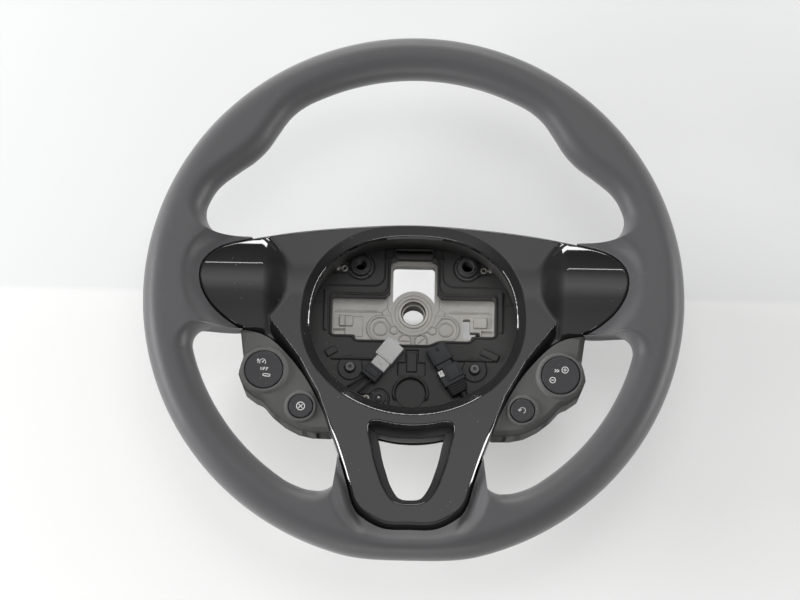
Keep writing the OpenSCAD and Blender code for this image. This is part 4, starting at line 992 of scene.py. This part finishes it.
# Plate with a raised border and frame, a web round the boss, bolt seats with curved ribs, two date marks and blocks
def hubHeight(x, z):
    u = np.abs(x)
    border = -hubOutline(x, z)
    rise = 1.2 * smoothStep((2.6 - border) / 0.9)
    rise = np.maximum(rise, 1.3 * smoothStep((4.2 - hubWindow(x, z)) / 0.9))
    rise = np.maximum(rise, 0.55 * smoothStep((z - 0.2) / 0.8))
    rise = np.maximum(rise, 0.9 * inside(outlineDistance(x, z, tent), 1.0))
    r = np.hypot(x, z)
    rise = np.maximum(rise, 1.25 * inside(r - hub["bossRing"], 0.8))
    rise = rise - 0.5 * inside(r - hub["boss"], 0.6)
    bolt = np.hypot(u - hub["boltX"], z - hub["boltZ"])
    side = smoothStep((u - hub["boltX"] + 3) / 2)
    rise = np.maximum(rise, 1.2 * inside(np.abs(bolt - 8.8) - 0.9, 0.8) * side * smoothStep((z + 21) / 2))
    rise = np.maximum(rise, 1.1 * inside(boxDistance(u, z, 14, -3.2, 24, -1.4, 0.5), 0.7))
    rise = np.maximum(rise, 0.7 * inside(bolt - 5.3, 0.7))
    rise = rise - 2.6 * inside(bolt - 4.1, 0.5) + 0.7 * inside(bolt - 1.6, 0.5)
    dot = np.hypot(u - 13.6, z + 11.6)
    rise = np.maximum(rise, 0.8 * inside(dot - 3.4, 0.6)) - 1.3 * inside(dot - 2.2, 0.5)
    clock = np.hypot(u - hub["clockX"], z - hub["clockZ"])
    hand = (hub["clockX"] - 3.1, hub["clockZ"] - 0.45, hub["clockX"] + 3.1, hub["clockZ"] + 0.45, 0.2)
    bar = np.where(x > 0, boxDistance(x, z, *hand, 42.0), boxDistance(u, z, *hand))
    rise = np.where(clock < 5.4, np.maximum(rise, 0.6), rise)
    rise = rise - 0.7 * inside(clock - 3.9, 0.5) + 0.75 * inside(bar, 0.45)
    rise = rise + 0.45 * inside(np.abs(clock - 4.4) - 0.35, 0.5)
    block = boxDistance(u, z, 42.7, -9.8, 52.4, -2.2, 0.8)
    rise = np.maximum(rise, (2.2 + 0.12 * (z + 6)) * inside(block, 0.8))
    rise = rise - 3.6 * inside(boxDistance(u, z, 48.4, -17.0, 56.2, -11.6, 0.6), 0.6)
    rise = rise + 0.5 * inside(boxDistance(x, z, -48.2, -17.2, -35.6, -2.6, 0.8), 0.8)
    rise = rise - 0.8 * inside(boxDistance(u, z, 26, 1.5, 54, 1.9, 0.1), 0.9)
    return hub["face"] - rise


def makeHub():
    shape = addRelief(Shape(), hubDistance, hubHeight, (-60, -28, 60, 46), 0.4, 5.9)
    addNode(shape, "armature", lambda c: ~((np.abs(c[:, 0]) < 60) & (c[:, 2] > -26.6) & (c[:, 2] < 46) & (c[:, 1] < 5.5)
                                           & (np.hypot(c[:, 0], c[:, 2]) > 10)))
    return makePiece("castHub", shape, materials["cast"], ("armature",), closed=False, crease=35)


makeHub()


# Steel insert: turned ring whose bore turns into splines, as radius over angle and depth
def makeInsert(s):
    splineEnd = 8.0 + s["splineLength"]
    y = np.array([0.0, 0.35, 0.7, 7.6, 8.0, 8.05, 8.05 + 0.4, splineEnd - 0.3, splineEnd, 25.6, 26.0])
    bore = np.array([0.6, 0.15, 0, 0, 0, -1, -1, -1, 0, 0, 0.3])
    n = s["teeth"] * 8
    a = np.linspace(0, 2 * math.pi, n, endpoint=False)[:, None]
    tooth = np.clip(1.6 * np.cos(a * s["teeth"]) * 0.5 + 0.5, 0, 1)
    radius = np.where(bore[None] < 0, s["splineTip"] + s["splineDepth"] * tooth, s["bore"] + bore[None])
    outer = [(10.4, 26.0), (10.9, 25.5), (10.9, -3.4 - s["face"]), (10.75, 0.12), (10.5, 0)]
    grid = np.stack([radius * np.cos(a), s["face"] + y[None] + 0 * a, radius * np.sin(a)], -1)
    r, depth = np.array(outer)[None, :, 0], np.array(outer)[None, :, 1]
    ring = np.stack([r * np.cos(a), s["face"] + depth + 0 * a, r * np.sin(a)], -1)
    shape = addGrid(Shape(), np.concatenate([grid, ring], 1), True, True)
    return makePiece("columnInsert", shape, materials["turnedSteel"], ("hub_bushing",))


makeInsert(insert)


# Carrier with its bushes and contacts

well = {"floor": -15.0, "upperDrop": 1.3}
bushes = {"leftBush": (-37.7, 30.6, 8.9, "left_bush"), "rightBush": (37.7, 30.6, 8.9, "right_bush"),
          "lowerBush": (-22.9, -64.5, 6.5, "lower_bush")}


# The carrier's outline: the opening, with an ear round each upper bush
earHalf = roundCorners([(16, 0), (66, 0), (66, 30), (61, 39), (52, 42.5), (16, 44)], 5)
wellOuter = bagOutline(2.2, 240)


def wellOutline(x, z):
    return np.minimum(outlineDistance(x, z, wellOuter), outlineDistance(np.abs(x), z, earHalf) + 1.6)


def hubCut(x, z):
    return np.maximum(hubOutline(x, z) + 1.4, -hubSlit(x, z))


def floorDistance(x, z):
    d = np.maximum(wellOutline(x, z), -hubCut(x, z))
    for bx, bz, r, node in bushes.values():
        d = np.maximum(d, (r - 3.3) - np.hypot(x - bx, z - bz))
    return d


# Floor: two platforms above, a ridge, screw pads, a cross and a round pocket below, and a groove round each bush
def floorHeight(x, z):
    u = np.abs(x)
    platform = boxDistance(u, z, 20.5, 17.0, 75, 60, 8)
    y = well["floor"] + np.where(z > 4, well["upperDrop"] * smoothStep(0.5 + platform / 1.4), 0)
    y = y - 1.3 * inside(boxDistance(u, z, 13, -36.7, 57, -35.5, 0.5), 0.8)
    pad = np.hypot(u - 43.5, z + 42.6)
    y = y - 0.9 * inside(pad - 8.6, 0.8) - 1.6 * inside(pad - 3.7, 0.6)
    y = y - 2.2 * inside(boxDistance(x, z, 47.5, -34.5, 60.5, -29.5, 0.8, -24), 0.9)
    y = y - 1.6 * inside(boxDistance(x, z, -61.0, -33.5, -53.0, -28.5, 0.8, 30), 0.9)
    y = y - 1.0 * inside(boxDistance(u, z, 60.5, -16.0, 63.0, 14.0, 0.8), 0.9)
    cross = np.minimum(boxDistance(x, z, -10.2, -47.5, 9, -38, 0.8), boxDistance(x, z, -5, -48, 4, -29, 0.8))
    y = y + 1.8 * inside(cross, 0.7) - 1.5 * inside(boxDistance(x, z, -4.0, -44.5, 3.0, -31, 0.6), 0.8)
    r = np.hypot(x + 1, z + 60)
    y = y - 1.7 * inside(np.abs(r - 11.7) - 0.9, 0.8) * smoothStep((z + 66) / 3) + 2.2 * inside(r - 10.6, 0.8)
    y = y + (well["floor"] + 0.75 - y) * inside(boxDistance(u, z, 44, 25.8, 61.5, 33.2, 1.0), 0.6) * (z > 0)
    y = y + (well["floor"] + 0.75 - y) * inside(boxDistance(x, z, -39, -66.4, -28, -61.2, 1.0), 0.6)
    for bx, bz, size, node in bushes.values():
        y = y + (well["floor"] + 0.8 - y) * inside(np.hypot(x - bx, z - bz) - size - 0.9, 0.6)
    y = y - 1.6 * inside(boxDistance(x, z, -21, 35.0, 21, 37.2, 0.6), 0.8) * (hubCut(x, z) > 1)
    y = y - 0.9 * inside(np.abs(hubCut(x, z) - 0.9) - 0.7, 0.7)
    return y


# The floor is thin, and its wall beside the hub runs deeper
def floorBack(x, z):
    return np.where(hubCut(x, z) < 0.6, -3.5, -12.6)


def makeCarrier():
    def below(c):
        return (c[:, 1] > -12.6) & (hubOutline(c[:, 0], c[:, 2]) > -1.2) & (c[:, 1] < 4.1)
    shape = addRelief(Shape(), floorDistance, floorHeight, (-76, -82, 76, 48), 0.5, floorBack)
    # wall of the well and its ledge under the trim
    section = [(0.0, -48.0), (1.7, -47.6), (1.7, -46.4), (1.9, -30), (1.9, -14.8), (3.4, -14.8), (3.4, -48.0)]
    addBand(shape, bagOutline(0.5, 240), roundCorners(section, 0.3, 2)[::-1])
    addNode(shape, "airbag_carrier", below)
    makePiece("wellCarrier", shape, materials["wellPlastic"], ("airbag_carrier",), closed=False,
              crease=30)


makeCarrier()


def makeBush(name, cx, cz, r, node):
    h = r - 5.2
    f = well["floor"] + 0.8
    profile = [(h, -6.4), (h, f - 6.2), (h + 0.7, f - 7.0), (r - 4.0, f - 7.0), (r - 3.4, f - 6.6), (r - 3.3, f - 5.6),
               (r - 2.3, f - 5.8), (r - 1.8, f - 5.2), (r - 1.8, f - 1.6), (r - 0.4, f - 1.4), (r, f - 1.0),
               (r, f - 0.1), (r - 3.4, f), (r - 3.4, -6.4)]
    shape = addLathe(Shape(), roundCorners(profile, 0.25, 2), cx, cz, 72)
    for turn in (-42, 138):     # snap tabs on the flange
        a = math.radians(turn)
        middle = np.array([cx + (r - 0.9) * math.cos(a), cz + (r - 0.9) * math.sin(a)])
        corners = np.array([(-1.3, -1.1), (1.3, -1.1), (1.3, 1.1), (-1.3, 1.1)])
        c, s = math.cos(a), math.sin(a)
        box = middle + np.stack([corners[:, 0] * c - corners[:, 1] * s, corners[:, 0] * s + corners[:, 1] * c], -1)
        addSlab(shape, roundCorners(box, 0.4, 2), f - 3.2, f - 1.3, 0.25)
    return makePiece(name, shape, materials["bush"], (node,))


for name, (cx, cz, r, node) in bushes.items():
    makeBush(name, cx, cz, r, node)


# Spring wire round a bush, with its ends bent outwards
def makeSpring(name, node, side):
    wire = {"y": -16.05, "r": 8.35, "start": -150, "end": 50}
    x, z = bushes["rightBush"][:2]
    a = np.radians(np.linspace(wire["start"], wire["end"], 44))
    centre = np.array([-side * x, wire["y"], z])
    ring = centre + wire["r"] * np.stack([np.cos(a) * side, 0 * a, np.sin(a)], -1)
    lead = [centre + (ring[0] - centre) * 1.14 + np.array([0, -0.1, 0.5]), centre + (ring[0] - centre) * 1.05]
    tail = [centre + (ring[-1] - centre) * 1.05, centre + (ring[-1] - centre) * 1.14 + np.array([0, -0.1, 0.6])]
    shape = addTube(Shape(), np.vstack([lead, ring, tail]), 0.45, 10)
    makePiece(name, shape, materials["wire"], (node,))


makeSpring("leftSpring", "left_bush_spring", 1)
makeSpring("rightSpring", "right_bush_spring", -1)


# A ring lug with a strap and two crimps, as heights over a fine grid
def makeLug(name, node, cx, cz, side, reach):
    def dist(x, z):
        u, v = (x - cx) * side, z - cz
        d = np.maximum(np.hypot(u, v) - 2.25, 1.25 - np.hypot(u, v))
        d = np.minimum(d, np.maximum(boxDistance(u, v, 1.2, -0.9, reach - 0.6, 0.9, 0.2), 1.25 - np.hypot(u, v)))
        d = np.minimum(d, boxDistance(u, v, reach * 0.46, -1.55, reach * 0.66, 1.55, 0.3))
        return np.minimum(d, boxDistance(u, v, reach - 2.2, -1.8, reach, 1.8, 0.35))

    def height(x, z):
        u, v = (x - cx) * side, z - cz
        barrel = np.sqrt(np.clip(1 - (v / 1.85) ** 2, 0, 1))
        crimps = inside(np.abs(u - reach * 0.56) - reach * 0.1, 0.3) + inside(np.abs(u - reach + 1.1) - 1.1, 0.3)
        return -14.9 - 0.9 * barrel * np.clip(crimps, 0, 1) - 0.12 * smoothStep(1 - np.abs(np.hypot(u, v) - 1.75) / 0.5)
    x0, x1 = sorted((cx - 2.6 * side, cx + (reach + 0.4) * side))
    shape = addRelief(Shape(), dist, height, (x0, cz - 2.6, x1, cz + 2.6), 0.13, -14.25)
    return makePiece(name, shape, materials["brass"], (node,), closed=False)


makeLug("leftLug", "left_horn_contact", -49.1, 29.4, -1, 8.5)
makeLug("rightLug", "right_horn_contact", 49.1, 29.4, 1, 8.5)
makeLug("lowerLug", "lower_horn_contact", -31.9, -63.9, -1, 5.6)


# Pin with a star-shaped head
def makePin():
    a = np.linspace(0, 2 * math.pi, 96, endpoint=False)[:, None]
    levels = np.array([(0.0, -21.0), (0.75, -21.05), (1.15, -21.3), (1.3, -21.0), (1.3, -7.1), (0.0, -7.0)])
    star = np.where(levels[None, :, 1] < -20.9, 1 + 0.16 * np.cos(6 * a), 1.0)
    r = levels[None, :, 0] * star
    x, z = bushes["lowerBush"][:2]
    grid = np.stack([x + r * np.cos(a), levels[None, :, 1] + 0 * a, z + r * np.sin(a)], -1)
    return makePiece("lowerPin", addGrid(Shape(), grid, True, False), materials["turnedSteel"], ("lower_pin",))


makePin()


# Liner of the loop, rear cover and screws

linerOutline = spline(withLeft(loopHalf), 8)
linerSection = [(3.2, -45.9), (-4.7, -45.9), (-5.5, -45.2), (-5.5, -28.1), (-3.0, -28.1), (-3.0, -36.2), (3.2, -36.2)]
liner = addBand(Shape(), linerOutline, roundCorners(linerSection, 0.6, 3))
makePiece("loopLiner", liner, materials["liner"], ("loop_liner",))

for node, finish in (("rear_cover", "cover"), ("carrier_screws", "blackZinc"), ("cover_screws", "blackZinc")):
    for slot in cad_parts[node].material_slots:
        slot.material = materials[finish]
print("CAD pieces that stay have their finish")


# Stage and light

# The last three entries paint the backdrop: painted light behind the hub window, and painted shadow behind the loop and
# the lower windows, each as x, z, radii and level
stage = {"back": 26.0, "size": 4.0, "wall": (0.50, 0.50, 0.496), "upper": (0.44, 0.445, 0.443), "line": 19.0,
         "glow": 0.24, "hubPaintedLight": (0, 26, 26, 26, 0.42), "loopPaintedShadow": (0, -118, 34, 44, 1.05),
         "lowPaintedShadow": (-22, -85, 120, 72, 0.82)}


# An even spot with a soft edge on the backdrop, round a point in x and z: the mask for painted shadow and painted light
def softSpot(tree, axes, x, z, rx, rz):
    u = mathNode(tree, "MULTIPLY", mathNode(tree, "SUBTRACT", axes.outputs["X"], x * mm), 1 / (rx * mm))
    v = mathNode(tree, "MULTIPLY", mathNode(tree, "SUBTRACT", axes.outputs["Z"], z * mm), 1 / (rz * mm))
    far = mathNode(tree, "ADD", mathNode(tree, "MULTIPLY", u, u), mathNode(tree, "MULTIPLY", v, v))
    return mathNode(tree, "MULTIPLY", mathNode(tree, "SUBTRACT", 1.25, far), 2.0, True)


# Lit paper that also glows for the camera, clear from behind. Painted shadow darkens it behind the loop and the lower
# windows, and painted light makes it glow more behind the hub window.
def makeBackdrop(s):
    material = bpy.data.materials.new("backdropPaper")
    material.use_nodes = True
    tree = material.node_tree
    tree.nodes.clear()
    axes = addNodeOf(tree, "SeparateXYZ", {0: addNodeOf(tree, "TexCoord").outputs["Object"]})
    above = mathNode(tree, "MULTIPLY", mathNode(tree, "SUBTRACT", axes.outputs["Z"], s["line"] * mm), 250.0, True)
    colour = mixColours(tree, above, (*s["wall"], 1), (*s["upper"], 1))
    # painted shadow: the backdrop's colour darkened behind the loop and the lower windows
    for x, z, rx, rz, level in (s["loopPaintedShadow"], s["lowPaintedShadow"]):
        paintedShadow = mixColours(tree, 1.0, colour, (level, level, level * 0.985, 1), "MULTIPLY")
        colour = mixColours(tree, softSpot(tree, axes, x, z, rx, rz), colour, paintedShadow)
    paper = addNodeOf(tree, "BsdfDiffuse", {"Color": colour})
    # painted light: extra glow for the camera in a spot behind the hub window, on top of the even glow
    x, z, rx, rz, level = s["hubPaintedLight"]
    rays = addNodeOf(tree, "LightPath").outputs
    seen = mathNode(tree, "MAXIMUM", rays["Is Camera Ray"], rays["Is Transmission Ray"])
    glowAndPaintedLight = mathNode(tree, "ADD", mathNode(tree, "MULTIPLY", softSpot(tree, axes, x, z, rx, rz), level), s["glow"])
    glow = addNodeOf(tree, "Emission", {"Strength": mathNode(tree, "MULTIPLY", glowAndPaintedLight, seen)})
    both = addNodeOf(tree, "AddShader", {0: paper.outputs[0], 1: glow.outputs[0]})
    clear = addNodeOf(tree, "BsdfTransparent")
    pick = addNodeOf(tree, "MixShader", {0: addNodeOf(tree, "NewGeometry").outputs["Backfacing"], 1: both.outputs[0],
                                         2: clear.outputs[0]})
    addNodeOf(tree, "OutputMaterial", {"Surface": pick.outputs[0]})
    w, y = s["size"] / 2, s["back"] * mm
    mesh = bpy.data.meshes.new("backdrop")
    mesh.from_pydata([(-w, y, -w), (w, y, -w), (w, y, w), (-w, y, w)], [], [(0, 1, 2, 3)])
    mesh.materials.append(material)
    sheet = bpy.data.objects.new("backdrop", mesh)
    bpy.context.scene.collection.objects.link(sheet)


# Brightness of the room over height, from straight down at 0 to straight up at 1, as a share of gloss
room = {"stops": ((0.0, 0.50), (0.25, 0.35), (0.40, 0.40), (0.50, 0.74), (0.58, 0.95), (0.68, 0.75), (0.80, 0.22),
                  (1.0, 0.05)),
        "gloss": 1.4, "lessForMatt": 1.02, "sideShade": 0.16}


def makeWorld(s):
    world = bpy.data.worlds.new("softRoom")
    bpy.context.scene.world = world
    world.use_nodes = True
    tree = world.node_tree
    tree.nodes.clear()
    split = addNodeOf(tree, "SeparateXYZ", {0: addNodeOf(tree, "TexCoord").outputs["Generated"]})
    height = mathNode(tree, "MULTIPLY_ADD", split.outputs["Z"], 0.5, c=0.5)
    ramp = addNodeOf(tree, "ValToRGB", {0: height})
    elements = ramp.color_ramp.elements
    for position, level in s["stops"][1:-1]:
        elements.new(position)
    for element, (position, level) in zip(elements, s["stops"]):
        element.position = position
        element.color = (*[level / s["gloss"]] * 3, 1)
    across = mathNode(tree, "ABSOLUTE", split.outputs["X"])
    sides = mathNode(tree, "MULTIPLY", mathNode(tree, "SUBTRACT", across, 0.45), 2.4, True)
    shade = mixColours(tree, 1.0, ramp.outputs[0], (*[s["sideShade"]] * 3, 1), "MULTIPLY")
    # the room lights matt surfaces less than gloss shows of it, and the lamps below give the rest
    rays = addNodeOf(tree, "LightPath").outputs
    less = mathNode(tree, "MULTIPLY", rays["Is Diffuse Ray"], s["lessForMatt"])
    walls = addNodeOf(tree, "Background", {"Color": mixColours(tree, sides, ramp.outputs[0], shade),
                                           "Strength": mathNode(tree, "SUBTRACT", s["gloss"], less)})
    white = addNodeOf(tree, "Background", {"Strength": 1.0})
    pick = addNodeOf(tree, "MixShader", {0: rays["Is Camera Ray"], 1: walls.outputs[0], 2: white.outputs[0]})
    addNodeOf(tree, "OutputWorld", {"Surface": pick.outputs[0]})


# An area lamp turned towards the middle of the wheel
def makeLamp(name, place, size, power, shows):
    data = bpy.data.lights.new(name, "AREA")
    data.shape = "RECTANGLE"
    data.size, data.size_y = size
    data.energy = power
    lamp = bpy.data.objects.new(name, data)
    bpy.context.scene.collection.objects.link(lamp)
    lamp.visible_glossy = shows
    place = Vector(place)
    turn = (Vector((0, -0.05, 0)) - place).to_track_quat("-Z", "Y").to_matrix().to_4x4()
    lamp.matrix_world = Matrix.Translation(place) @ turn


makeBackdrop(stage)
makeWorld(room)
# Place, size, power and whether gloss shows it: broad lamps first, then strips whose streaks lie on the trim
lamps = {
    "leftWindow": ((-1.7, -0.6, -0.1), (0.7, 1.1), 54, False),
    "roomAbove": ((0.1, -0.15, 1.6), (1.4, 0.5), 14, False),
    "rightWall": ((1.7, -0.5, 0.1), (0.7, 1.1), 22, False),
    "tableBounce": ((-0.2, -0.7, -1.0), (1.5, 0.7), 1.5, False),
    "cameraSide": ((0.1, -2.2, 0.5), (1.0, 1.0), 12, False),
    "ceilingTube": ((0.2, -1.9, 1.55), (1.4, 0.05), 1.6, True),
    "topStrip": ((0, -0.45, 1.8), (1.5, 0.22), 10, True),
    "lowStrip": ((0, -0.45, -1.8), (1.5, 0.22), 6, True),
    "leftStrip": ((-1.8, -0.45, 0), (0.22, 1.5), 14, True),
    "rightStrip": ((1.8, -0.45, 0), (0.22, 1.5), 14, True),
}
for name, (place, size, power, shows) in lamps.items():
    makeLamp(name, place, size, power, shows)

bpy.context.scene.view_settings.view_transform = "Standard"
